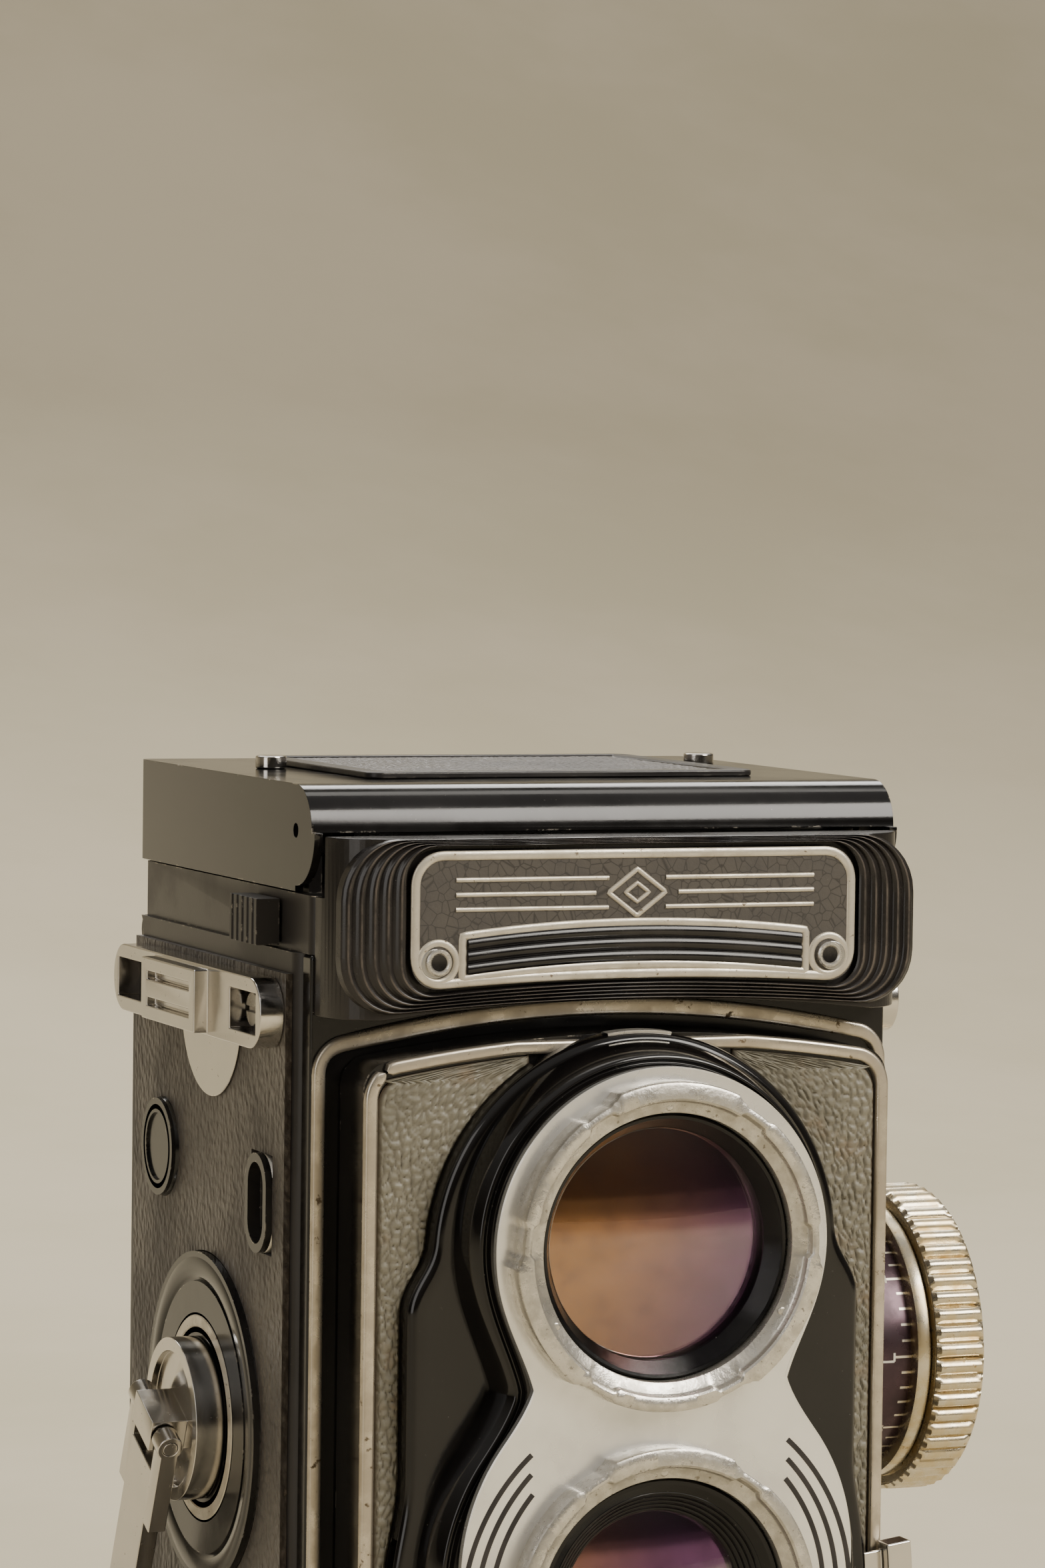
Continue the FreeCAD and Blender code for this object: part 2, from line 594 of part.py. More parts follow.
for k in range(3):
    save("shutter_blade_%d" % (k + 1), make_blade(k))
save("release_button", make_release())
for k, name in enumerate(("speed_lever", "aperture_lever")):
    save(name, make_lever(k))
socket = tube(3.0, 1.4, (-release_x, board_face - 2.6, release_z), (-release_x, board_face, release_z))
socket = socket.fuse(tube(2.4, 1.4, (-release_x, board_face, release_z), (-release_x, board_face + 1.6, release_z)))
save("shutter_housing", Part.makeCompound([make_shutter_housing(), socket.removeSplitter()]))

# ---- focusing: knob, shaft, two spiral cams ----------------------------------------------
knob_x = (half + leather + 0.5, 53.0)
knob_rim_r = 19.1
drum_r = 15.6
cam_x = (follower_x - 1.0, follower_x + 1.0)


def make_cam(x):
    """Spiral cam: its radius grows evenly over the knob's turn, then falls back."""
    dwell = 0.35
    outline = []
    steps = 60
    for i in range(steps + 1):
        turn = focus_turn * i / steps
        a = math.pi - turn
        outline.append((cam_low_r + cam_rise * turn, a))
    outline.append((cam_low_r, math.pi - 2 * math.pi + dwell))
    points = [(focus_axis[0] + r * math.cos(a), focus_axis[1] + r * math.sin(a)) for r, a in outline]
    arc_points = [(focus_axis[0] + cam_low_r * math.cos(math.pi + dwell * t),
                   focus_axis[1] + cam_low_r * math.sin(math.pi + dwell * t)) for t in (0.66, 0.33)]
    cam = side_panel(points + arc_points, x)
    return cam.cut(rod(focus_shaft_r, (x[0] - 1, *focus_axis), (x[1] + 1, *focus_axis)))


def focus_rod(radius, x0, x1):
    return rod(radius, (x0, *focus_axis), (x1, *focus_axis))


save("focus_shaft", Part.makeCompound([focus_rod(focus_shaft_r, -cam_x[1] - 0.6, knob_x[0] + 3.0),
                                       make_cam(cam_x), make_cam((-cam_x[1], -cam_x[0]))]))
drum = focus_rod(drum_r, knob_x[0], knob_x[0] + 6.0)
save("focus_scale_drum", drum.cut(focus_rod(focus_shaft_r, 0, 60)))
band = focus_rod(17.4, knob_x[0] + 6.0, knob_x[0] + 8.0)
grip = focus_rod(knob_rim_r, knob_x[0] + 8.0, knob_x[1])
grip = grip.cut(focus_rod(knob_rim_r - 3.0, knob_x[1] - 0.8, knob_x[1] + 1))
save("focus_knob", band.fuse(grip).removeSplitter())
bush = focus_rod(4.0, inner, half).fuse(focus_rod(5.8, half, half + leather)).removeSplitter()
bracket_x = (-cam_x[0] + 0.2, -cam_x[0] + 1.7)
bracket = block(bracket_x, (inside_front, focus_axis[0] + 5), (focus_axis[1] - 4.5, focus_axis[1] + 4.5))
shaft_hole = focus_rod(focus_shaft_r + pin_gap, -60, 60)
save("focus_bearings", Part.makeCompound([bush.cut(shaft_hole), bracket.cut(shaft_hole)]))

# ---- film transport: crank, gears, dial, spools, rollers ----------------------------------
layer_dial = (-inner + 0.2, -inner + 1.0)
layer_drive = (-inner + 1.3, -inner + 2.3)
crank_hub_x = (-half - 5.3, -half - 1.9)
arm_pivot_x = crank_hub_x[0] - 1.9
arm_angle = math.atan2(-20.0, 9.2)
arm_length = 30.0
arm_dir = Vector(0, math.cos(arm_angle), math.sin(arm_angle))
fold_dir = Vector(0, -math.sin(arm_angle), math.cos(arm_angle))


def gear_phase(centre, other, teeth, on_tooth):
    """Turn that puts a tooth, or a gap, on the line to the other gear's centre."""
    a = math.atan2(other[1] - centre[1], other[0] - centre[0])
    return a if on_tooth else a + math.pi / teeth


save("crank_gears", Part.makeCompound([
    gear(crank_teeth, gear_module, shaft_r, layer_drive, crank_axis,
         gear_phase(crank_axis, take_up_axis, crank_teeth, True)),
    gear(pinion_teeth, gear_module, shaft_r, layer_dial, crank_axis,
         gear_phase(crank_axis, dial_axis, pinion_teeth, True))]))
save("take_up_drive", Part.makeCompound([
    gear(take_up_teeth, gear_module, shaft_r, layer_drive, take_up_axis,
         gear_phase(take_up_axis, crank_axis, take_up_teeth, False)),
    rod(shaft_r, (-inner - 1.1, *take_up_axis), (-spool_half + 2.4, *take_up_axis))]))
save("counter_dial", gear(dial_teeth, gear_module, 1.5 + pin_gap, layer_dial, dial_axis,
                          gear_phase(dial_axis, crank_axis, dial_teeth, False)))


def crank_rod(radius, x0, x1):
    return rod(radius, (x0, *crank_axis), (x1, *crank_axis))


def along_arm(start, end, width, x):
    """Bar between two distances from the crank's pivot, in the arm's own direction."""
    bar = block(x, (start, end), (-width / 2, width / 2))
    bar.rotate(Vector(0, 0, 0), X, math.degrees(arm_angle))
    bar.translate(Vector(0, *crank_axis))
    return bar


def across_arm(radius, start, end):
    """Cylinder along the fold axis, between two distances from the crank's axis."""
    middle = Vector(arm_pivot_x, *crank_axis)
    return Part.makeCylinder(radius, end - start, middle + fold_dir * start, fold_dir)


def make_crank_hub():
    """Hub with a shaft through the wall and a lug that holds the arm's pin."""
    hub = crank_rod(9.8, *crank_hub_x)
    hub = hub.cut(crank_rod(8.2, crank_hub_x[0] - 1, crank_hub_x[0] + 0.8))
    hub = hub.fuse([crank_rod(4.0, crank_hub_x[1], -inner), crank_rod(shaft_r, -inner, layer_drive[1])])
    lug = along_arm(-2.0, 2.0, 7.0, (arm_pivot_x - 1.7, crank_hub_x[0] + 1.2))
    return hub.fuse(lug).cut(across_arm(0.9, -10, 10)).removeSplitter()


def make_crank_arm():
    """Forked arm: two eyes round the pin, a web and a tapering blade to the grip's post."""
    x = (arm_pivot_x - 1.1, arm_pivot_x + 1.1)
    web = along_arm(4.6, 12.0, 12.8, x)
    blade = along_arm(8.0, arm_length, 8.4, x)
    end_y = crank_axis[0] + arm_dir.y * arm_length
    end_z = crank_axis[1] + arm_dir.z * arm_length
    arm = fuse(web, blade, rod(4.2, (x[0], end_y, end_z), (x[1], end_y, end_z)),
               rod(1.4, (x[1], end_y, end_z), (-half - leather - 1.6, end_y, end_z)))
    for side in (-1, 1):
        inside, outside = sorted((side * 3.8, side * 6.4))
        arm = arm.fuse(across_arm(1.6, inside, outside))
        prong = block(x, (0, 6.0), (inside, outside))
        prong.rotate(Vector(0, 0, 0), X, math.degrees(arm_angle))
        prong.translate(Vector(0, *crank_axis))
        arm = arm.fuse(prong)
    return arm.cut(across_arm(0.9 + pin_gap, -10, 10)).removeSplitter()


grip_y = crank_axis[0] + arm_dir.y * arm_length
grip_z = crank_axis[1] + arm_dir.z * arm_length
save("crank_hub", Part.makeCompound([make_crank_hub(), across_arm(0.9, -6.4, 6.4)]))
save("crank_arm", make_crank_arm())
save("crank_grip", tube(3.9, 1.4 + pin_gap, (arm_pivot_x + 1.3, grip_y, grip_z),
                        (-half - leather - 1.7, grip_y, grip_z)))
crank_plate = crank_rod(20.0, -half - 1.7, -half).cut(crank_rod(4.3, -half - 3, -half + 1))
crank_plate = crank_plate.cut(tube(17.6, 16.4, (-half - 3, *crank_axis), (-half - 1.3, *crank_axis)))


def make_spool(centre):
    """Roll film spool: core with an end hole at each end, and two flanges."""
    core = rod(5.0, (-spool_half, *centre), (spool_half, *centre))
    for side in (-1, 1):
        xs = sorted((side * (spool_half - 1.0), side * spool_half))
        core = core.fuse(rod(spool_flange_r, (xs[0], *centre), (xs[1], *centre)))
        core = core.cut(rod(shaft_r + 0.1, (side * (spool_half - 5), *centre), (side * (spool_half + 1), *centre)))
    return core.cut(block((-spool_half + 8, spool_half - 8), (centre[0] - 0.6, centre[0] + 0.6),
                          (centre[1] - 6, centre[1] + 6))).removeSplitter()


save("take_up_spool", make_spool(take_up_axis))
save("supply_spool", make_spool(supply_axis))


def make_spool_knob(centre):
    """Pull-out knob: knurled head outside, shank through the wall, tip in the spool's end."""
    head = rod(7.6, (half + leather + 0.6, *centre), (half + leather + 5.2, *centre))
    head = head.cut(rod(5.4, (half + leather + 4.6, *centre), (half + leather + 6, *centre)))
    shank = rod(3.0, (inner + 0.1, *centre), (half + leather + 0.7, *centre))
    tip = rod(shaft_r, (spool_half - 2.4, *centre), (inner + 0.2, *centre))
    return fuse(head, shank, tip)


save("take_up_knob", make_spool_knob(take_up_axis))
save("supply_knob", make_spool_knob(supply_axis))
bezels = [tube(7.9, 3.3, (half, *centre), (half + leather + 0.3, *centre)) for centre in (take_up_axis, supply_axis)]
cap = rod(6.0, (-half - leather - 0.9, *cap_centre), (-half, *cap_centre))
cap = cap.cut(rod(4.2, (-half - 4, *cap_centre), (-half - leather - 0.3, *cap_centre)))
for name, centre in zip(("upper_roller", "lower_roller"), roller_places):
    body = rod(roller_r, (-roller_half, *centre), (roller_half, *centre))
    save(name, body.fuse(rod(1.0, (-roller_half - 1.3, *centre), (roller_half + 1.3, *centre))).removeSplitter())


def window_shape(grow, x):
    """Upright oval of the counter window."""
    y, z = window_centre
    w, h = window_size[0] / 2 + grow, window_size[1] / 2 + grow
    straight = h - w
    body = block(x, (y - w, y + w), (z - straight, z + straight))
    for end in (-straight, straight):
        body = body.fuse(rod(w, (x[0], y, z + end), (x[1], y, z + end)))
    return body.removeSplitter()


rim_x = (-half - leather - 0.8, -half)
window_rim = window_shape(-0.02, rim_x).cut(window_shape(-1.1, (rim_x[0] - 1, rim_x[1] + 1)))
save("side_plates", Part.makeCompound([crank_plate, cap, window_rim] + bezels))
# ---- strap lugs ---------------------------------------------------------------------------
lug_y = (front_y + 1.8, back_y - 1.2)
lug_z = (top_z - 11.5, top_z - 3.2)
lug_x = (body_width / 2, body_width / 2 + 3.0)
bridge_y = (lug_y[0] + 18.7, lug_y[0] + 38.7)


def make_lug():
    """Long rounded frame with an opening at each end and a raised bridge in the middle."""
    body = block(lug_x, lug_y, lug_z)
    body = rounded(body, 4.0, runs_along(X))
    middle = (lug_z[0] + lug_z[1]) / 2
    for y0, y1 in ((lug_y[0] + 1.8, lug_y[0] + 11.0), (lug_y[1] - 11.0, lug_y[1] - 1.8)):
        body = body.cut(block((lug_x[0] - 1, lug_x[1] + 1), (y0, y1), (middle - 2.4, middle + 2.4)))
    bridge = block((lug_x[0] + 1, lug_x[1] + 1.8), bridge_y, (lug_z[0] + 0.4, lug_z[1] - 0.4))
    body = body.fuse(bridge)
    for z in (middle - 1.6, middle + 1.6):
        body = body.cut(block((lug_x[1] + 0.6, lug_x[1] + 3), (bridge_y[0] + 2, bridge_y[1] - 2), (z - 0.5, z + 0.5)))
    return body.removeSplitter()


wear = rod(11.0, (lug_x[0], 2.0, lug_z[0] + 3.0), (lug_x[0] + 0.35, 2.0, lug_z[0] + 3.0))
wear = wear.cut(block((lug_x[0] - 5, lug_x[1] + 5), (-20, 20), (lug_z[0], top_z + 10)))
save("strap_lugs", Part.makeCompound([make_lug(), mirrored(make_lug()), wear, mirrored(wear)]))
lug_middle = (lug_z[0] + lug_z[1]) / 2
fasteners = make_housing_screws()
for y in (lug_y[0] + 8.2, lug_y[1] - 8.2):
    head = rod(2.0, (lug_x[0], y, lug_middle), (lug_x[0] + 1.2, y, lug_middle))
    head = head.cut(block((lug_x[0] + 0.8, lug_x[0] + 2), (y - 3, y + 3), (lug_middle - 0.3, lug_middle + 0.3)))
    fasteners += [head, mirrored(head)]

# ---- back door: rear and bottom in one piece -----------------------------------------------
door_y = (back_y + 0.1, back_y + 0.1 + door_thick)
door_bottom = (floor_gap, floor_gap + door_thick)
tripod_r = 3.2
bolt_travel = 3.0


def make_door():
    """L-shaped door: rear plate, bottom plate and the middle knuckle of its hinge."""
    rear = block((-half, half), door_y, (door_bottom[0], door_axis[1] - 2.1))
    base = block((-half, half), (front_y + 0.3, door_y[1]), door_bottom)
    body = rear.fuse(base).removeSplitter()
    body = rounded(body, 1.6, lambda e: runs_along(X)(e) and e.CenterOfMass.y > back_y and e.CenterOfMass.z < 3)
    body = body.fuse(block((-door_knuckle, door_knuckle), (door_axis[0] - 0.9, door_y[1]),
                           (door_axis[1] - 2.2, door_axis[1])))
    body = body.fuse(rod(barrel_r, (-door_knuckle, *door_axis), (door_knuckle, *door_axis)))
    body = body.cut(rod(door_pin_r + pin_gap, (-door_knuckle - 1, *door_axis), (door_knuckle + 1, *door_axis)))
    for x in (-29.0, 29.0):
        for y in (front_y + 6.5, back_y - 5.0):
            body = body.fuse(rod(3.0, (x, y, 0), (x, y, floor_gap + 0.1)))
    return body.cut(rod(6.5, (0, 0, -1), (0, 0, 6))).removeSplitter()


save("back_door", make_door())
fasteners.append(rod(door_pin_r, (-half + 1.2, *door_axis), (half - 1.2, *door_axis)))
save("door_leather", block((-half + 1.0, half - 1.0), (door_y[1], door_y[1] + 0.6), (door_bottom[0] + 3, door_axis[1] - 4)))
save("pressure_plate", rounded(block((-31.0, 31.0), (chamber_back + 0.2, chamber_back + 1.3), (taking_z - 30.0, taking_z + 30.0)),
                               2.0, runs_along(Y)))
tripod = rod(6.5, (0, 0, 0), (0, 0, bottom_z + 1.0)).cut(rod(tripod_r, (0, 0, -1), (0, 0, bottom_z + 0.2)))
save("tripod_bush", tripod)
lock = tube(11.0, 6.8, (0, 0, 0.3), (0, 0, floor_gap - 0.1))
for side in (-1, 1):
    lock = lock.fuse(block(sorted((side * 9.0, side * 14.5)), (-2.4, 2.4), (0.3, floor_gap - 0.1)))
save("lock_ring", lock.removeSplitter())
save("lock_bolt", block((-3.0, 3.0), (inside_front + 1.2, -9.0), (door_bottom[1] + 0.05, bottom_z + 1.1)))
# ---- folding hood ---------------------------------------------------------------------------
hood_half = half - 0.7
hood_y = (frame_y[0], back_y + 0.5)
open_x = 29.0
open_y = (screen_y[0] - 0.3, screen_y[1] - 0.4)
wall_axis_x = hood_half - 4.3
wall_z = hood_base_top + 1.9
wall_height = 28.0
wall_y = (-15.0, 28.5)
wall_pin_r = 0.5
knuckle_r = 0.95
tab_thick = 1.3
rear_wall_y = back_y - 2.9
rear_wall_z = wall_z + 6.5
rear_wall_height = 24.0
rear_wall_half = 28.6
ear_x = (hood_half - 2.9, hood_half - 1.3)
lid_pin_r = 0.8
catch_y = (-18.5, -9.0)
catch_travel = 2.8


def lid_rod(radius, x0, x1):
    return rod(radius, (x0, lid_axis.y, lid_axis.z), (x1, lid_axis.y, lid_axis.z))


def make_hood_base():
    """Frame over the screen with the ears and tabs that hold the hood's hinge pins."""
    body = block((-hood_half, hood_half), hood_y, (top_z, hood_base_top))
    body = rounded(body, 1.5, runs_along(Z))
    body = body.cut(block((-open_x, open_x), open_y, (top_z - 1, hood_base_top + 1)))
    for side in (-1, 1):
        xs = sorted((side * ear_x[0], side * ear_x[1]))
        body = body.fuse(lid_rod(3.0, *xs))
        body = body.fuse(block(xs, (lid_axis.y + 0.3, lid_axis.y + 3.0), (hood_base_top - 1, lid_axis.z)))
        body = body.cut(lid_rod(lid_pin_r, xs[0] - 1, xs[1] + 1))
        tab = sorted((side * (wall_axis_x - 1.2), side * (wall_axis_x + 1.1)))
        for y0 in (wall_y[0] - 0.3 - tab_thick, wall_y[1] + 0.3):
            body = body.fuse(block(tab, (y0, y0 + tab_thick), (hood_base_top - 1, wall_z + 1.0)))
        body = body.cut(rod(wall_pin_r, (side * wall_axis_x, wall_y[0] - 3, wall_z), (side * wall_axis_x, wall_y[1] + 2.4, wall_z)))
        post = sorted((side * (rear_wall_half + 0.9), side * (rear_wall_half + 2.2)))
        body = body.fuse(block(post, (rear_wall_y - 0.9, rear_wall_y + 1.4), (hood_base_top - 1, rear_wall_z + 1.0)))
        body = body.cut(rod(wall_pin_r, (post[0] - 1, rear_wall_y, rear_wall_z), (post[1] + 1, rear_wall_y, rear_wall_z)))
    # ledge over the screen's edge
    ledge = block((-open_x - 0.5, open_x + 0.5), (open_y[0] - 0.5, open_y[1] + 0.5), (top_z + 1.6, top_z + 2.6))
    ledge = ledge.cut(block((-open_x + 2, open_x - 2), (open_y[0] + 2, open_y[1] - 2), (top_z, top_z + 4)))
    body = body.fuse(ledge)
    # slot for the catch's stem
    body = body.cut(block((-hood_half - 1, -open_x - 2.0), (catch_y[0] + 3.2, catch_y[0] + 3.5 + 2.5 + catch_travel + 0.3),
                          (top_z + 2.3, top_z + 4.7)))
    return body.removeSplitter()


def make_side_wall():
    """Right wall, lying flat: its rear edge slopes so that it clears the rear wall as both rise."""
    base, tip = wall_axis_x, wall_axis_x - wall_height
    shape = [(base, wall_y[0]), (tip, wall_y[0]), (tip, wall_y[1] - 14.5), (base - 6.0, wall_y[1]), (base, wall_y[1])]
    wire = Part.makePolygon([Vector(x, y, wall_z - 0.3) for x, y in shape + shape[:1]])
    body = Part.Face(wire).extrude(Vector(0, 0, 0.6))
    barrel = rod(knuckle_r, (base, wall_y[0], wall_z), (base, wall_y[1], wall_z))
    body = body.fuse(barrel).cut(rod(wall_pin_r + pin_gap, (base, wall_y[0] - 1, wall_z), (base, wall_y[1] + 1, wall_z)))
    return body.removeSplitter()


def make_rear_wall():
    body = block((-rear_wall_half, rear_wall_half), (rear_wall_y - rear_wall_height, rear_wall_y), (rear_wall_z - 0.3, rear_wall_z + 0.3))
    ends = (-rear_wall_half, rear_wall_half)
    body = body.fuse(rod(knuckle_r, (ends[0], rear_wall_y, rear_wall_z), (ends[1], rear_wall_y, rear_wall_z)))
    body = body.cut(rod(wall_pin_r + pin_gap, (ends[0] - 1, rear_wall_y, rear_wall_z), (ends[1] + 1, rear_wall_y, rear_wall_z)))
    return body.removeSplitter()


magnifier_pivot = (lid_axis.y + 28.0, lid_under - 1.7)
magnifier_lug_x = 10.2
magnifier_r = 10.5
lens_y = magnifier_pivot[0] + 13.5


def make_lid():
    """Shallow lid: top, two cheeks, rear lip and the rounded nose that wraps the hinge."""
    a = lid_axis
    rear = back_y + 1.0
    low = hood_base_top + 0.25
    nose = lid_top - a.z
    cheek_r = 6.4
    outside = hood_half + 0.5
    side_shape = block((0, outside), (a.y, rear), (low, lid_top)).fuse(rod(nose, (0, a.y, a.z), (outside, a.y, a.z)))
    lower_round = rod(cheek_r, (0, a.y, a.z), (outside, a.y, a.z))
    side_shape = side_shape.fuse(lower_round.common(block((0, outside), (a.y - 9, a.y + 9), (low, a.z))))
    cheek = side_shape.common(block((outside - 1.0, outside), (a.y - 20, rear + 20), (0, lid_top + 20))).removeSplitter()
    top = block((-hood_half, hood_half), (a.y, rear), (lid_under, lid_top))
    lip = block((-hood_half, hood_half), (rear - 1.0, rear), (low, lid_top))
    shell = tube(nose, nose - 1.0, (-hood_half, a.y, a.z), (hood_half, a.y, a.z))
    shell = shell.common(block((-outside - 3, outside + 3), (a.y - 10, a.y), (a.z, lid_top + 1)))
    body = fuse(cheek, mirrored(cheek), top, lip, shell)
    body = rounded(body, 1.2, lambda e: runs_along(Z)(e) and e.CenterOfMass.y > rear - 0.5 and abs(e.CenterOfMass.x) > outside - 0.1)
    for side in (-1, 1):
        xs = sorted((side * (ear_x[0] - 3.0), side * (ear_x[0] - running_gap)))
        boss = lid_rod(2.2, *xs).fuse(block(xs, (a.y - 1.5, a.y + 1.5), (a.z, lid_under + 0.1)))
        body = body.fuse(boss)
        lugs = sorted((side * magnifier_lug_x, side * (magnifier_lug_x + 1.0)))
        y, z = magnifier_pivot
        body = body.fuse(block(lugs, (y - 1.1, y + 1.1), (z - 1.0, lid_under + 0.1)))
        body = body.cut(rod(wall_pin_r, (lugs[0] - 1, y, z), (lugs[1] + 1, y, z)))
    return body.cut(lid_rod(lid_pin_r + pin_gap, -outside - 3, outside + 3)).removeSplitter()


def make_magnifier():
    """Arm with a hinge barrel and the ring of the focusing magnifier."""
    y, z = magnifier_pivot
    low, high = z - 0.7, z + 0.7
    ring = tube(magnifier_r, magnifier_r - 1.3, (0, lens_y, low), (0, lens_y, high))
    arm = block((-4.5, 4.5), (y, lens_y - magnifier_r + 1.2), (low + 0.2, high - 0.2))
    arm = arm.cut(rod(magnifier_r - 0.5, (0, lens_y, low - 1), (0, lens_y, high + 1)))
    barrel = rod(0.9, (-magnifier_lug_x + 0.3, y, z), (magnifier_lug_x - 0.3, y, z))
    body = fuse(ring, arm, barrel)
    return body.cut(rod(wall_pin_r + pin_gap, (-12, y, z), (12, y, z)))


save("focusing_screen", block((-open_x + 0.1, open_x - 0.1), (open_y[0] + 0.1, open_y[1] - 0.1), (top_z, top_z + 1.6)))
save("hood_base", make_hood_base())
side_wall = make_side_wall()
save("right_hood_wall", side_wall)
save("left_hood_wall", mirrored(side_wall))
save("rear_hood_wall", make_rear_wall())
save("hood_lid", make_lid())
save("magnifier_arm", make_magnifier())
save("magnifier_lens", rod(magnifier_r - 1.3, (0, lens_y, magnifier_pivot[1] - 0.6), (0, lens_y, magnifier_pivot[1] + 0.6)))
fasteners += [lid_rod(lid_pin_r, -ear_x[1], ear_x[1]),
              rod(wall_pin_r, (-rear_wall_half - 2.2, rear_wall_y, rear_wall_z), (rear_wall_half + 2.2, rear_wall_y, rear_wall_z))]
for side in (-1, 1):
    fasteners.append(rod(wall_pin_r, (side * wall_axis_x, wall_y[0] - 1.6, wall_z), (side * wall_axis_x, wall_y[1] + 1.6, wall_z)))
save("pins_and_screws", Part.makeCompound(fasteners))
magnifier_pin = rod(wall_pin_r, (-magnifier_lug_x - 1.0, *magnifier_pivot), (magnifier_lug_x + 1.0, *magnifier_pivot))
finder_y = (-16.0, 25.0)
finder = rounded(block((-25.0, 25.0), finder_y, (lid_top, lid_top + 0.8)), 2.0, runs_along(Z))
finder = finder.cut(block((-22.5, 22.5), (finder_y[0] + 2.5, finder_y[1] - 2.5), (lid_top + 0.3, lid_top + 2)))
save("finder_flap", finder)
stud = rod(1.9, (28.5, 9.0, lid_top), (28.5, 9.0, lid_top + 1.6))
save("lid_fittings", Part.makeCompound([stud, mirrored(stud), magnifier_pin]))
catch = block((-hood_half - 3.3, -hood_half - 0.4), catch_y, (top_z + 0.4, hood_base_top - 1.0))
stem_y = (catch_y[0] + 3.5, catch_y[0] + 6.0)
catch = catch.fuse(block((-hood_half - 0.5, -open_x - 3.0), stem_y, (top_z + 2.5, top_z + 4.5))).removeSplitter()
for k in range(5):
    y = catch_y[0] + 1.2 + 1.8 * k
    catch = catch.cut(rod(0.4, (-hood_half - 3.3, y, 0), (-hood_half - 3.3, y, 200)))
save("hood_catch", catch)

for name, shape in nodes.items():
    shape.exportStep("parts/" + name + ".step")
print(len(nodes), "nodes")
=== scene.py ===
import json
import math
import bmesh
import bpy
import numpy as np
from mathutils import Matrix, Vector

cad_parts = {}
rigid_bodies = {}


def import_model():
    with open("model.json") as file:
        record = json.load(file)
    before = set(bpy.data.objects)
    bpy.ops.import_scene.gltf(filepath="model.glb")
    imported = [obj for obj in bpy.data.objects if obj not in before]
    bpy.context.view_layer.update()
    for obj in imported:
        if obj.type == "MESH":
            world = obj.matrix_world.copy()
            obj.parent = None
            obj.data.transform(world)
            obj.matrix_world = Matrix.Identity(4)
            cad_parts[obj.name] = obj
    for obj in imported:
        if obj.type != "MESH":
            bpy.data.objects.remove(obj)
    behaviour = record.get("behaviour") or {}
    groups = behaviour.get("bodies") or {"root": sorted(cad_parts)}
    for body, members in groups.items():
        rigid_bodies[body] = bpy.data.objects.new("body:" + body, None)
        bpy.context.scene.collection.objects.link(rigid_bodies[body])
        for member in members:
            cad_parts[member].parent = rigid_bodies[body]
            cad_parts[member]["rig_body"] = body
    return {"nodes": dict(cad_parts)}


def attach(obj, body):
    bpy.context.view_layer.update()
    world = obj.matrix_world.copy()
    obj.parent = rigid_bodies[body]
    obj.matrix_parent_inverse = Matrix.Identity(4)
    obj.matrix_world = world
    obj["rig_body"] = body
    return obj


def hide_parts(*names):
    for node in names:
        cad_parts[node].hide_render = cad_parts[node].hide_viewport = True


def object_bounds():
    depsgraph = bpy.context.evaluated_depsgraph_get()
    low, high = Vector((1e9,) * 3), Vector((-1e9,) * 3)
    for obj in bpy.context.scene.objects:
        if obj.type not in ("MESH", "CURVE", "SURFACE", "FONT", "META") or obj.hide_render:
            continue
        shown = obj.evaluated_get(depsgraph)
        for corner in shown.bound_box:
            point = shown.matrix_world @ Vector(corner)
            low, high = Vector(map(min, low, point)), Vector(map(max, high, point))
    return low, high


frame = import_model()
cad_box = [list(corner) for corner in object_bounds()]

# ---- enamelled metal parts ---------------------------------------------------------------
# The casting, the hood and the lens board are die-cast or pressed metal under stoved black
# enamel. Their shapes are the CAD ones with every arris broken; years of handling have rubbed
# the paint thin, so bare metal shows in specks along the edges.
MM = 0.001                # metres in a millimetre
EVEN = (1.0, 1.0, 1.0)    # a stretch that changes nothing
FINE_DUST = 0.35          # millimetres across


def join(tree, value, socket):
    """Set a socket to a number, or link another socket to it."""
    if isinstance(value, bpy.types.NodeSocket):
        tree.links.new(value, socket)
    else:
        socket.default_value = value


def added(tree, kind, given=None, **settings):
    """A new shader node with its settings made and its inputs given, by name or by number."""
    node = tree.nodes.new("ShaderNode" + kind)
    for label, value in settings.items():
        setattr(node, label, value)
    for key, value in (given or {}).items():
        join(tree, value, node.inputs[key])
    return node


def effect(name, inputs, outputs, wire):
    """Shader node group: inputs are {name: default}, outputs the names of its numbers; wire joins them."""
    tree = bpy.data.node_groups.new(name, "ShaderNodeTree")
    for label, value in inputs.items():
        kind = "NodeSocketVector" if isinstance(value, tuple) else "NodeSocketFloat"
        tree.interface.new_socket(label, in_out="INPUT", socket_type=kind).default_value = value
    for label in outputs:
        tree.interface.new_socket(label, in_out="OUTPUT", socket_type="NodeSocketFloat")
    wire(tree, tree.nodes.new("NodeGroupInput").outputs, tree.nodes.new("NodeGroupOutput").inputs)
    return tree


def sums(tree, operation, *values):
    """A Math node with its inputs filled; gives its output."""
    return added(tree, "Math", dict(enumerate(values)), operation=operation).outputs[0]


def ramp(tree, value, low, high, to_low=0.0, to_high=1.0):
    """Value carried from the range low..high onto to_low..to_high, with smooth ends."""
    given = dict(enumerate((value, low, high, to_low, to_high)))
    return added(tree, "MapRange", given, interpolation_type="SMOOTHSTEP").outputs[0]


def place(tree, stretch=None):
    """Object coordinates, in metres, stretched by a vector if there is one."""
    point = added(tree, "TexCoord").outputs["Object"]
    if stretch is None:
        return point
    return added(tree, "VectorMath", {0: point, 1: stretch}, operation="MULTIPLY").outputs[0]


def parts(tree):
    """Object coordinates x, y and z, each in metres."""
    return added(tree, "SeparateXYZ", {0: place(tree)}).outputs


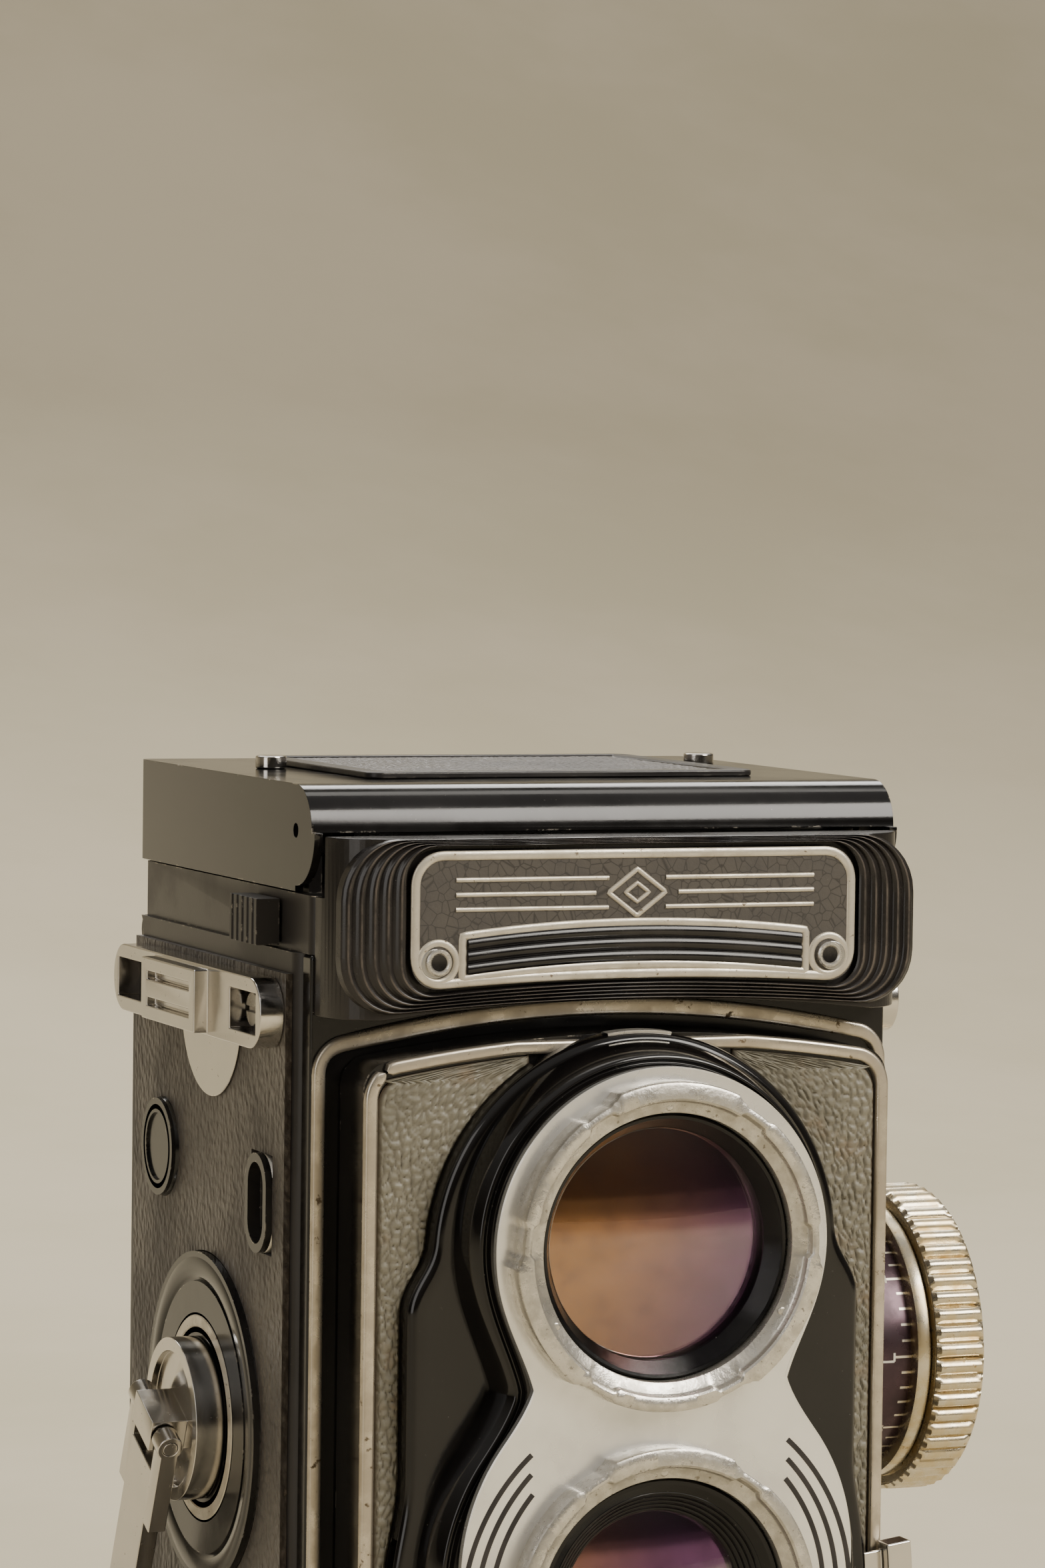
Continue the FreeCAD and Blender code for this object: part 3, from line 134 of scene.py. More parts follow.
def off_whole(tree, value):
    """How far a value is from the nearest whole number."""
    return sums(tree, "ABSOLUTE", sums(tree, "SUBTRACT", value, sums(tree, "ROUND", value)))


def noise(tree, size, point, detail, rough):
    """Noise whose features are about size millimetres across."""
    scale = sums(tree, "DIVIDE", 1000.0, size)
    given = {"Vector": point, "Scale": scale, "Detail": detail, "Roughness": rough}
    return added(tree, "TexNoise", given).outputs[0]


def cells(tree, size, point, feature):
    """Distance inside cells about size millimetres across."""
    scale = sums(tree, "DIVIDE", 1000.0, size)
    return added(tree, "TexVoronoi", {"Vector": point, "Scale": scale}, feature=feature).outputs["Distance"]


def wire_patches(tree, given, out):
    """Mask = noise of the given size, where it passes the threshold, softened."""
    found = noise(tree, given["Size"], place(tree, given["Stretch"]), 5.0, 0.62)
    join(tree, ramp(tree, found, given["From"], sums(tree, "ADD", given["From"], given["Soft"])), out["Mask"])


def wire_grain(tree, given, out):
    """Height = fine noise; with Pebble above 0, rounded cells of the same size are added."""
    point = place(tree, given["Stretch"])
    fine = noise(tree, given["Size"], point, 4.0, 0.6)
    scale = sums(tree, "DIVIDE", 700.0, given["Size"])
    wobble = added(tree, "TexNoise", {"Vector": place(tree), "Scale": scale})
    warped = added(tree, "VectorMath", {0: wobble.outputs["Color"], 1: (0.0004,) * 3, 2: point},
                   operation="MULTIPLY_ADD").outputs[0]
    round_cell = ramp(tree, cells(tree, given["Size"], warped, "SMOOTH_F1"), 0.0, 0.75, 1.0, 0.0)
    join(tree, sums(tree, "MULTIPLY_ADD", round_cell, given["Pebble"], fine), out["Height"])
    join(tree, round_cell, out["Crown"])


def wire_edge(tree, given, out):
    """Mask = where the surface turns within the given width, broken up by noise."""
    bevel = added(tree, "Bevel", {"Radius": sums(tree, "MULTIPLY", given["Width"], MM)}, samples=4)
    normal = added(tree, "NewGeometry").outputs["Normal"]
    turn = added(tree, "VectorMath", {0: bevel.outputs[0], 1: normal}, operation="DOT_PRODUCT")
    sharp = ramp(tree, turn.outputs["Value"], 0.985, 0.80)
    broken = ramp(tree, noise(tree, given["Size"], place(tree), 5.0, 0.7),
                  given["From"], sums(tree, "ADD", given["From"], 0.08))
    join(tree, sums(tree, "MULTIPLY", sharp, broken), out["Mask"])


PATCHES = effect("patches", {"Size": 10.0, "From": 0.5, "Soft": 0.1, "Stretch": EVEN}, ("Mask",),
                 wire_patches)
GRAIN = effect("grain", {"Size": 1.0, "Pebble": 0.0, "Stretch": EVEN}, ("Height", "Crown"), wire_grain)
EDGE_WEAR = effect("edge wear", {"Width": 0.4, "Size": 1.5, "From": 0.5}, ("Mask",), wire_edge)


def put(tree, group, **values):
    """One of the effects, placed in a material with its own values; gives its outputs."""
    return added(tree, "Group", values, node_tree=group).outputs


def patches(tree, size, threshold, soft):
    """Mask of patches about size millimetres across."""
    return put(tree, PATCHES, Size=size, From=threshold, Soft=soft)["Mask"]


def blend(tree, mask, first, second):
    """Colour between two, by a mask."""
    first, second = ((*colour, 1.0) if isinstance(colour, tuple) else colour for colour in (first, second))
    return added(tree, "Mix", {0: mask, 6: first, 7: second}, data_type="RGBA").outputs[2]


def new_material(name, **given):
    """A material, its node tree and its shader's inputs, those given by name (with _ for a space) set."""
    made = bpy.data.materials.new(name)
    made.use_nodes = True
    inputs = made.node_tree.nodes["Principled BSDF"].inputs
    for label, value in given.items():
        inputs[label.replace("_", " ")].default_value = value
    return made, made.node_tree, inputs


def finish(name, colour, rough, *, tone, metal=0.0, coat=0.0, spots=None, wear=None, grain=None,
           dust=0.0, paint=None, sheen=0.0):
    """Material of one finish.

    tone  = (second colour, patch size in mm): slow change of colour and gloss
    spots = (colour, size, threshold, roughness): small stains or specks
    wear  = (colour, width, threshold, roughness, metallic): rubbed edges
    grain = (size, depth in mm, pebble share, stretch): relief; the last two are 0 and EVEN if left out
    paint = function(tree, colour) that gives a painted pattern's colour
    """
    made, tree, inputs = new_material(name, Coat_Weight=coat, Coat_Roughness=0.08, Specular_IOR_Level=0.38,
                                      Sheen_Weight=sheen)
    slow = patches(tree, tone[1], 0.36, 0.3)
    base = blend(tree, slow, colour, tone[0])
    if paint:
        base = paint(tree, base)
    gloss = ramp(tree, slow, 0.0, 1.0, rough * 0.85, min(1.0, rough * 1.25))
    shine = metal
    if grain:
        size, depth, pebble, stretch = grain + (0.0, EVEN)[len(grain) - 2:]
        relief = put(tree, GRAIN, Size=size, Pebble=pebble, Stretch=stretch)
        bump = added(tree, "Bump", {"Strength": 1.0, "Distance": depth * MM, "Height": relief["Height"]})
        join(tree, bump.outputs[0], inputs["Normal"])
        if pebble:
            hollow = ramp(tree, relief["Crown"], 0.25, 0.75, 0.45, 0.0)
            base = blend(tree, hollow, base, tuple(c * 0.35 for c in colour))
    if spots:
        stain, size, threshold, dull = spots
        mark = patches(tree, size, threshold, 0.07)
        base = blend(tree, mark, base, stain)
        gloss = ramp(tree, mark, 0.0, 1.0, gloss, dull)
    if dust:
        speck = patches(tree, FINE_DUST, 0.70, 0.05)
        base = blend(tree, sums(tree, "MULTIPLY", speck, dust), base, (0.5, 0.47, 0.42))
    if wear:
        rubbed, width, threshold, polish, bare_shine = wear
        bare = put(tree, EDGE_WEAR, Width=width, Size=2.2, From=threshold)["Mask"]
        base = blend(tree, bare, base, rubbed)
        gloss = ramp(tree, bare, 0.0, 1.0, gloss, polish)
        if bare_shine != metal:
            shine = ramp(tree, bare, 0.0, 1.0, metal, bare_shine)
    join(tree, base, inputs["Base Color"])
    join(tree, gloss, inputs["Roughness"])
    join(tree, shine, inputs["Metallic"])
    return made


bare_metal = (0.55, 0.50, 0.42)
gloss_enamel = finish("gloss black enamel", (0.0045, 0.004, 0.004), 0.15, coat=0.12,
                      tone=((0.009, 0.008, 0.0075), 18.0), wear=(bare_metal, 0.35, 0.56, 0.35, 0.9),
                      grain=(0.5, 0.004), dust=0.35)
satin_enamel = finish("satin black enamel", (0.016, 0.014, 0.0135), 0.34, coat=0.05,
                      tone=((0.026, 0.023, 0.021), 22.0), wear=(bare_metal, 0.35, 0.54, 0.4, 0.9),
                      grain=(0.35, 0.008), dust=0.3)


def smoothed(mesh, angle=35.0):
    """Smooth shading, kept crisp where two faces meet at more than the angle, in degrees."""
    mesh.shade_smooth()
    mesh.set_sharp_from_angle(angle=math.radians(angle))


def shown(name, mesh, material, angle=35.0):
    """Object of a mesh in one material, smoothed, in the scene."""
    mesh.materials.append(material)
    smoothed(mesh, angle)
    made = bpy.data.objects.new(name, mesh)
    bpy.context.scene.collection.objects.link(made)
    return made


def dressed(node, width, material):
    """A CAD shape with its edges broken: a merged copy of the node, coplanar faces joined, edges bevelled."""
    source = frame["nodes"][node]
    shell = bmesh.new()
    shell.from_mesh(source.data)
    bmesh.ops.remove_doubles(shell, verts=shell.verts, dist=2e-6)
    bmesh.ops.dissolve_limit(shell, angle_limit=math.radians(1.0), verts=shell.verts, edges=shell.edges)
    mesh = bpy.data.meshes.new(node + "_shape")
    shell.to_mesh(mesh)
    shell.free()
    copy = shown("looks_" + node, mesh, material)
    bevel = copy.modifiers.new("broken edges", "BEVEL")
    bevel.width, bevel.segments = width * MM, 2
    bevel.limit_method, bevel.angle_limit = "ANGLE", math.radians(35)
    bevel.harden_normals = True
    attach(copy, source["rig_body"])
    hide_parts(node)
    return copy
for node, width, material in (
        ("body_casting", 0.5, satin_enamel), ("front_frame", 0.5, gloss_enamel),
        ("front_board", 0.5, gloss_enamel), ("hood_base", 0.35, satin_enamel), ("hood_lid", 0.3, gloss_enamel),
        ("finder_flap", 0.25, satin_enamel), ("back_door", 0.4, satin_enamel), ("hood_catch", 0.3, satin_enamel)):
    dressed(node, width, material)

# ---- bright beads of the front -----------------------------------------------------------
# Two drawn nickel-silver strips: one is pressed round the body's front frame, the other edges
# the moving lens board and stops each side of the lens surround with a rounded end.
VIEWING, TAKING = 87.0, 45.0


def to_front(middle):
    """The way out of a sheet that lies on the front."""
    return Vector((0, -1, 0))


def grid_mesh(name, shells, material, smooth=35.0, caps=False, away=None):
    """Mesh of one or more grids of points (rows, columns, 3) in mm: neighbours are joined by
    four-sided faces, points in one place are merged, so seams and poles close, and faces look out:
    a solid's by themselves, a sheet's along away(face's middle)."""
    verts, faces, start = [], [], 0
    for grid in shells:
        rows, cols = grid.shape[:2]
        index = start + np.arange(rows * cols).reshape(rows, cols)
        quads = np.stack((index[:-1, :-1], index[1:, :-1], index[1:, 1:], index[:-1, 1:]), -1)
        faces += quads.reshape(-1, 4).tolist()
        if caps:
            faces += [index[:-1, 0].tolist(), index[:-1, -1].tolist()[::-1]]
        verts.append(grid.reshape(-1, 3))
        start += rows * cols
    mesh = bpy.data.meshes.new(name)
    mesh.from_pydata(np.concatenate(verts) * MM, [], faces)
    shell = bmesh.new()
    shell.from_mesh(mesh)
    bmesh.ops.remove_doubles(shell, verts=shell.verts, dist=1e-6)
    bmesh.ops.dissolve_degenerate(shell, edges=shell.edges, dist=1e-7)
    bmesh.ops.recalc_face_normals(shell, faces=shell.faces)
    if away:
        inward = [face for face in shell.faces if face.normal.dot(away(face.calc_center_median())) < 0]
        bmesh.ops.reverse_faces(shell, faces=inward)
    shell.to_mesh(mesh)
    shell.free()
    return shown(name, mesh, material, smooth)


def piece(name, body, shells, material, slot, *nodes, smooth=35.0, away=None):
    """A grid mesh that rides on a body and stands for CAD nodes."""
    made = grid_mesh(name, shells, material, smooth, away=away)
    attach(made, body)
    if nodes:
        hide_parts(*nodes)
    return made


def points(*coordinates):
    """Array of points from the arrays of their coordinates, which stretch to one shape."""
    return np.stack(np.broadcast_arrays(*coordinates), -1)


def bend(corner, before, after, reach, steps=9):
    """Curve that turns a corner: leaves the side to one neighbour at reach, meets the other at reach."""
    corner, before, after = (np.array(p, float) for p in (corner, before, after))
    a, b = (corner + (side - corner) * reach / np.linalg.norm(side - corner) for side in (before, after))
    t = np.linspace(0, 1, steps)[:, None]
    c1, c2 = corner + (a - corner) * 0.45, corner + (b - corner) * 0.45
    return a * (1 - t) ** 3 + 3 * c1 * t * (1 - t) ** 2 + 3 * c2 * t ** 2 * (1 - t) + b * t ** 3


def cornered(corners, reach, start, end):
    """Path along a row of corners, each turned by a bend; it comes from the start and goes to the end."""
    row = [start, *corners, end]
    return np.vstack([bend(b, a, c, reach) for a, b, c in zip(row, row[1:], row[2:])])


def even(loop, step=0.0, count=0):
    """The same closed loop with points an even step apart, or with as many even steps as count says."""
    closed = np.vstack((loop, loop[:1]))
    run = np.concatenate(([0], np.cumsum(np.linalg.norm(np.diff(closed, axis=0), axis=1))))
    count = count or max(8, int(run[-1] / step))
    at = np.linspace(0, run[-1], count + 1)[:-1]
    return points(*(np.interp(at, run, closed[:, i]) for i in (0, 1)))


def arched_loop(half, low, side, top, reach, step):
    """Loop with straight sides, a shallow arched top and turned corners, clockwise from the top middle."""
    t = np.linspace(-1, 1, 61)
    crown = points(half * t, side + (top - side) * (1 - t ** 2))
    crown = crown[np.abs(crown[:, 0]) < half - reach]
    middle = len(crown) // 2
    corners = [(half, side + 0.2), (half, low), (-half, low), (-half, side + 0.2)]
    turned_down = cornered(corners, reach, crown[-1], crown[0])
    return even(np.vstack((crown[middle:], turned_down, crown[:middle])), step)


def normals(path, closed):
    """Unit normals of a path, to the left hand of its run (outwards when it runs clockwise)."""
    run = np.roll(path, -1, 0) - np.roll(path, 1, 0) if closed else np.gradient(path, axis=0)
    run /= np.linalg.norm(run, axis=1)[:, None]
    return points(-run[:, 1], run[:, 0])


def carried(path, section, closed=True, scale=1.0):
    """Section (offset to the path's left, depth y) carried along the path: point = path + normal x offset."""
    offset = section[:, 0] * np.reshape(scale, (-1, 1))
    at = path[:, None] + normals(path, closed)[:, None] * offset[..., None]
    grid = points(at[..., 0], section[:, 1], at[..., 1])
    return np.concatenate((grid, grid[:1])) if closed else grid


def end_closed(grid):
    """A tube's grid whose two open ends are each drawn together in their middle."""
    first, last = (np.broadcast_to(end.mean(0), end.shape)[None] for end in (grid[0], grid[-1]))
    return np.concatenate((first, grid, last))


def rounded_strip(width, back, front, edge):
    """Closed section of a strip: flat back, two rounded front edges; offsets run from -width to 0."""
    t = np.linspace(0, np.pi / 2, 5)
    left = points(-width + edge - edge * np.cos(t), front + edge - edge * np.sin(t))
    right = points(-edge + edge * np.sin(t), front + edge - edge * np.cos(t))
    return np.vstack(((-width, back), left, right, (0, back), (-width, back)))


nickel_silver = finish("aged nickel silver", (0.62, 0.56, 0.46), 0.30, metal=0.85,
                       tone=((0.48, 0.42, 0.33), 5.0), spots=((0.16, 0.12, 0.075), 1.6, 0.63, 0.6),
                       grain=(0.18, 0.010, 0.0, (0.25, 1.0, 0.25)), dust=0.2)
body_bead_path = arched_loop(36.4, 6.0, 109.3, 113.9, 3.6, 0.7)
body_bead = carried(body_bead_path, rounded_strip(1.0, -28.6, -29.5, 0.28),
                    scale=1.45 + 0.6 * np.clip((body_bead_path[:, 1] - 108.5) / 3, 0, 1))
piece("looks_body_bead", "body", [body_bead], nickel_silver, "nickel", "front_frame_bead")

board_loop = arched_loop(33.0, 12.0, 107.4, 110.5, 4.0, 0.5)
board_gap = 14.4
run_out = board_loop[np.abs(board_loop[:, 0]) + 100 * (board_loop[:, 1] < 90) > board_gap]
turn_at = int(np.argmax(np.linalg.norm(np.diff(run_out, axis=0), axis=1))) + 1
trim_path = np.vstack((run_out[turn_at:], run_out[:turn_at]))
trim_at = np.arange(len(trim_path))
trim_run = np.minimum(trim_at, trim_at[::-1]) * 0.5
end_round = np.sqrt(np.clip(1 - (1 - np.clip((trim_run + 0.02) / 0.8, 0, 1)) ** 2, 0, 1))
trim_centre = trim_path - normals(trim_path, False) * 0.78
trim_section = rounded_strip(1.56, -36.6, -37.5, 0.4) + (0.78, 0.0)
board_trim = carried(trim_centre, trim_section, False, end_round)
piece("looks_board_trim", "front", [board_trim], nickel_silver, "nickel", "board_trim")

# ---- lens surround -----------------------------------------------------------------------
# A zinc casting under gloss black enamel, screwed to the lens board from behind: a wide base,
# and on it a raised rim that runs round both lenses. The exposure levers come out of its flanks.


def disc_field(x, z, centre, radius):
    """Distance to a disc's edge, negative inside."""
    return np.hypot(x, z - centre) - radius


def box_field(x, z, half, low, high, corner):
    """Distance to an upright rectangle with round corners, negative inside."""
    dx = np.abs(x) - half + corner
    dz = np.abs(z - (low + high) / 2) - (high - low) / 2 + corner
    return np.hypot(np.maximum(dx, 0), np.maximum(dz, 0)) + np.minimum(np.maximum(dx, dz), 0) - corner


def merged(a, b, round_off):
    """Smooth union of two distance fields, filleted by round_off."""
    h = np.clip(0.5 + 0.5 * (b - a) / round_off, 0, 1)
    return b * (1 - h) + a * h - round_off * h * (1 - h)


def outline(field, middle=66.0, reach=70.0, step=0.6):
    """Closed path where a field is zero: found by halving the span along rays from the middle."""
    turn = np.linspace(np.pi / 2, -3 * np.pi / 2, 1441)[:-1]
    low, high = np.zeros(len(turn)), np.full(len(turn), reach)
    for _ in range(30):
        half_way = (low + high) / 2
        within = field(half_way * np.cos(turn), middle + half_way * np.sin(turn)) < 0
        low, high = np.where(within, half_way, low), np.where(within, high, half_way)
    return even(points(low * np.cos(turn), middle + low * np.sin(turn)), step)


def base_field(x, z):
    """Base: the upper disc, a rectangle with rounded shoulders and the lower disc."""
    upper = merged(disc_field(x, z, VIEWING - 1.6, 25.4), box_field(x, z, 28.4, 27.0, 85.0, 6.0), 3.0)
    return merged(upper, disc_field(x, z, TAKING, 30.2), 2.0)


def eight_field(upper, lower, waist, lift=0.0):
    """Field of a figure of eight: a disc on each lens axis and a waist that runs smoothly into both."""
    def field(x, z):
        discs = np.minimum(disc_field(x, z, VIEWING, upper), disc_field(x, z, TAKING, lower))
        discs = np.minimum(discs, disc_field(x, z, TAKING + lift, lower))
        return merged(discs, box_field(x, z, waist, TAKING, VIEWING, 1.0), 4.5)
    return field


def arc_section(points):
    """Section of (offset, depth) points, each inner point turned into a small curve through it."""
    points = np.array(points, float)
    out = [points[:1]]
    for a, b, c in zip(points[:-2], points[1:-1], points[2:]):
        reach = 0.42 * min(np.linalg.norm(b - a), np.linalg.norm(c - b))
        out.append(bend(b, a, c, reach, 5))
    return np.vstack(out + [points[-1:]])


surround_enamel = finish("surround enamel", (0.0035, 0.003, 0.003), 0.11, coat=0.15,
                         tone=((0.008, 0.007, 0.0065), 16.0), wear=(bare_metal, 0.3, 0.60, 0.35, 0.9),
                         grain=(0.6, 0.003), dust=0.3)
base_path = outline(base_field)
base_section = arc_section([(0.0, -36.6), (0.0, -39.3), (-0.7, -40.0), (-2.4, -40.0)])
surround_base = grid_mesh("looks_surround_base", [carried(base_path, base_section)], surround_enamel,
                          caps=True)


def lever_window(middle):
    """Closed block bent about the taking axis, 26 degrees to each side of an angle, where a lever comes out:
    radius on a circle, at the corners of an upright rectangle."""
    a = np.radians(np.linspace(middle - 26, middle + 26, 25))[:, None]
    r, y = np.array([22.0, 40.0, 40.0, 22.0, 22.0]), np.array([-39.2, -39.2, -37.5, -37.5, -39.2])
    return end_closed(points(r * np.cos(a), y, TAKING + r * np.sin(a)))


lever_cutters = [grid_mesh("lever_cutter", [lever_window(middle)], surround_enamel) for middle in (3, 190)]
for cutter in lever_cutters:
    window = surround_base.modifiers.new("lever window", "BOOLEAN")
    window.operation, window.object, window.solver = "DIFFERENCE", cutter, "EXACT"
bpy.context.view_layer.update()
whole = bpy.data.meshes.new_from_object(surround_base.evaluated_get(bpy.context.evaluated_depsgraph_get()))
surround_base.modifiers.clear()
surround_base.data = whole
for cutter in lever_cutters:
    bpy.data.objects.remove(cutter)
smoothed(whole)
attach(surround_base, "front")
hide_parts("lens_surround")

rim_path = outline(eight_field(22.8, 27.0, 17.6, 3.0), step=0.5)
rim_section = arc_section([(0.3, -39.8), (0.0, -41.6), (-0.5, -43.4), (-1.15, -44.6), (-1.6, -44.7),
                           (-1.75, -44.3), (-2.05, -44.3), (-2.15, -45.2), (-2.5, -45.95), (-3.0, -46.0),
                           (-3.35, -45.4), (-3.5, -42.0), (-3.5, -39.8), (0.3, -39.8)])
piece("looks_surround_rim", "front", [carried(rim_path, rim_section)], surround_enamel, "gloss_black")

# ---- face plate --------------------------------------------------------------------------
# A figure-of-eight plate of bright satin aluminium behind the filter bayonets. Three black lines
# are inlaid at each side of the lower lens, following its curve.


def turned(profile, centre, axis="y", steps=96):
    """Profile (radius, distance along the axis) turned about a line through the centre: points = centre +
    radius x (cosine, sine)."""
    a = np.linspace(0, 2 * np.pi, steps + 1)[:, None]
    r, along = profile[:, 0], profile[:, 1]
    first, second = centre[0] + r * np.cos(a), centre[1] + r * np.sin(a)
    return points(first, along, second) if axis == "y" else points(along, first, second)


bright_satin = finish("bright satin aluminium", (0.90, 0.89, 0.87), 0.28, metal=0.85,
                      tone=((0.74, 0.73, 0.70), 30.0), spots=((0.55, 0.50, 0.42), 0.5, 0.70, 0.5),
                      grain=(0.12, 0.003, 0.0, (1.0, 1.0, 0.2)))
BAYONET_R, PLATE_BACK, PLATE_FRONT = 17.9, -46.0, -47.0
plate_path = outline(eight_field(20.6, 24.4, 15.2, 5.2), step=0.5)


def half_width(path, side, z):
    """How far a closed path reaches to one side of the middle, at heights z."""
    edge = path[path[:, 0] * side > 0]
    edge = edge[np.argsort(edge[:, 1])]
    return np.interp(z, edge[:, 1], np.abs(edge[:, 0]))


def plate_half(side):
    """Flat front of one half of the face plate: at each height, a straight row runs from the lens hole,
    or the middle line, out to the outline."""
    z = np.linspace(plate_path[:, 1].min() + 0.02, plate_path[:, 1].max() - 0.02, 340)
    outer = half_width(plate_path, side, z)[:, None]
    holes = [np.sqrt(np.clip(BAYONET_R ** 2 - (z - axis) ** 2, 0, None)) for axis in (VIEWING, TAKING)]
    inner = np.minimum(np.maximum(*holes)[:, None], outer - 0.01)
    return points(side * (inner + (outer - inner) * np.linspace(0, 1, 9)), PLATE_FRONT, z[:, None])


piece("looks_face_plate", "front", [plate_half(-1), plate_half(1)], bright_satin, "bright_plate",
      "face_plate", away=to_front)
plate_edge = carried(plate_path, np.array([(-0.3, PLATE_BACK), (0.0, PLATE_BACK), (0.0, PLATE_FRONT + 0.12),
                                           (-0.12, PLATE_FRONT - 0.02), (-0.3, PLATE_FRONT - 0.02),
                                           (-0.3, PLATE_BACK)]))
piece("looks_face_plate_edge", "front", [plate_edge], bright_satin, "bright_plate")

black_inlay = finish("black inlay paint", (0.02, 0.018, 0.018), 0.35, tone=((0.035, 0.03, 0.028), 4.0),
                     grain=(0.3, 0.01))


def inlay_line(radius, start_x, sign):
    """Thin black line on an arc about the taking axis, its section a flat rounded strip; it starts at x."""
    top = math.acos(start_x / radius)
    a = np.linspace(top, -top * 0.9, 60)
    path = points(sign * radius * np.cos(a), TAKING + 0.6 + radius * np.sin(a))
    section = rounded_strip(0.62, PLATE_FRONT + 0.1, PLATE_FRONT - 0.06, 0.05) + (0.31, 0.0)
    return end_closed(carried(path, section, False))


lines = [inlay_line(radius, start_x, sign)
         for radius, start_x in ((24.25, 16.0), (22.6, 16.0), (20.9, 15.8)) for sign in (-1, 1)]
piece("looks_plate_lines", "front", lines, black_inlay, "gloss_black")

# ---- leather of the lens board -----------------------------------------------------------
# Two panels of embossed leather glued to the board between the surround and the bright trim,
# faded to an olive grey with brown stains, darker in the pebbles' hollows and darkest along the edges. Every
# pebble stands up as relief.


def pebbles(x, z, size, seed):
    """Height 0..1 of embossed pebbles: one minus the squared distance to the nearest of scattered points,
    flattened on top; points sit on a grid of the given size, each shifted by up to 0.42 of it."""
    spread = np.random.default_rng(seed)
    shifts = spread.uniform(-0.42, 0.42, (160, 160, 2))
    warp_x = x / size + 0.25 * np.sin(z / size * 1.7 + x * 0.9)
    warp_z = z / size * 1.15 + 0.25 * np.sin(x / size * 1.9 - z * 0.7)
    cx, cz = np.floor(warp_x).astype(int), np.floor(warp_z).astype(int)
    first, second = np.full(x.shape, 9.0), np.full(x.shape, 9.0)
    for i in (-1, 0, 1):
        for k in (-1, 0, 1):
            shift = shifts[(cx + i) % 160, (cz + k) % 160]
            far = np.hypot(cx + i + 0.5 + shift[..., 0] - warp_x, cz + k + 0.5 + shift[..., 1] - warp_z)
            second = np.minimum(second, np.maximum(first, far))
            first = np.minimum(first, far)
    return np.clip((second - first) / 0.55, 0, 1) ** 0.6


def leather_panel(side):
    """Sheet between the surround's outline and the trim, x from one to the other at each height z:
    y = face - relief, the relief being the pebbles, and it drops to the board at the edges."""
    low, corner, shoulder = 13.4, 3.0, 2.6
    z = np.arange(low, 109.9, 0.27)
    between = (z > base_path[:, 1].min()) & (z < base_path[:, 1].max())
    inner = np.where(between, half_width(base_path, side, z) - 0.15, 0.0)
    inner = np.where(z > 100.0, np.maximum(inner, board_gap - 1.6), inner)
    across = np.linspace(0, 1, 200)
    crown = 105.7 + 3.0 * (1 - across ** 2)
    outer = np.where(z < 105.7, 31.35, np.interp(-z, -crown, 31.35 * across))
    turn = corner - np.sqrt(np.clip(corner ** 2 - (low + corner - z) ** 2, 0, None))
    outer -= np.where(z < low + corner, turn, 0)
    turn = shoulder - np.sqrt(np.clip(shoulder ** 2 - (z - 102.6) ** 2 * 0.6, 0, None))
    outer -= np.where((z > 102.6) & (z < 105.7), turn, 0)
    inner, outer = inner[:, None], np.maximum(outer, inner + 0.02)[:, None]
    x, z = np.broadcast_arrays(inner + (outer - inner) * np.linspace(0, 1, 117), z[:, None])
    edge = np.clip(np.minimum(x - inner, outer - x) / 0.5, 0, 1)
    relief = 0.14 + 0.34 * pebbles(x + 40 * side, z, 1.15, 7) + 0.08 * pebbles(x, z, 3.1, 11)
    return points(side * x, -36.75 - edge * (relief + 0.12), z)


def board_tint(tree, colour):
    """Brown stain where a broad noise passes a threshold; darker in the pebbles' hollows and darkest where the
    sheet drops to its edge.
    """
    stain = patches(tree, 7.0, 0.56, 0.16)
    depth = parts(tree)[1]
    low = ramp(tree, depth, -0.03704, -0.03680)
    hollow = ramp(tree, depth, -0.03728, -0.03704)
    browned = blend(tree, sums(tree, "MULTIPLY", stain, 0.45), colour, (0.20, 0.13, 0.07))
    browned = blend(tree, sums(tree, "MULTIPLY", hollow, 0.55), browned, (0.095, 0.078, 0.055))
    return blend(tree, sums(tree, "MULTIPLY", low, 0.9), browned, (0.06, 0.04, 0.025))


grey_leather = finish("faded board leather", (0.200, 0.184, 0.138), 0.5, tone=((0.150, 0.137, 0.100), 9.0),
                      spots=((0.10, 0.065, 0.04), 1.2, 0.68, 0.7), grain=(0.25, 0.02), dust=0.25,
                      paint=board_tint)
piece("looks_board_leather", "front", [leather_panel(1), leather_panel(-1)], grey_leather, "front_leather",
      "board_leather", smooth=80.0, away=to_front)

# ---- filter bayonets and lens barrels ----------------------------------------------------
# Nickelled brass rings with three lugs and three notches for filters; decades of filters have
# scuffed them. Inside each sit the black barrels of the lenses, screwed together in steps.


LUGS_AT = (88, -32, 208)       # degrees round a lens axis


def bayonet(centre, seed):
    """Ring around a lens axis, a height over radius and angle: the rim's radius grows over three lugs, a
    flat scuffed crown, a rounded step and a slope down to the bore."""
    a = np.linspace(0, 2 * np.pi, 361)[:, None]
    away = [np.abs((np.degrees(a) - at + 180) % 360 - 180) for at in LUGS_AT]
    lug = sum(np.clip((25 - far) / 2.0, 0, 1) for far in away)
    notch = np.clip(sum(np.clip((7 - np.abs(far - 33)) / 2.0, 0, 1) for far in away), 0, 1)
    rim, inner = 18.72 + 0.46 * lug - 0.3 * notch, 17.0 + 0.5 * notch
    uneven = 0.03 * np.sin(3 * a + seed) + 0.02 * np.sin(11 * a)
    rows = ((rim, -46.9), (rim, -49.55), (rim - 0.12, -49.85), (rim - 0.4, -49.98),
            (inner + 0.25, -49.98 + uneven * 0.4), (inner, -49.8), (inner - 0.1, -49.2),
            (inner - 0.3, -48.95), (15.75, -48.6), (15.5, -48.45), (15.42, -48.1), (15.42, -46.9), (rim, -46.9))
    r, y = (np.hstack([np.broadcast_to(row[i], a.shape) for row in rows]) for i in (0, 1))
    return points(r * np.cos(a), y, centre + r * np.sin(a))


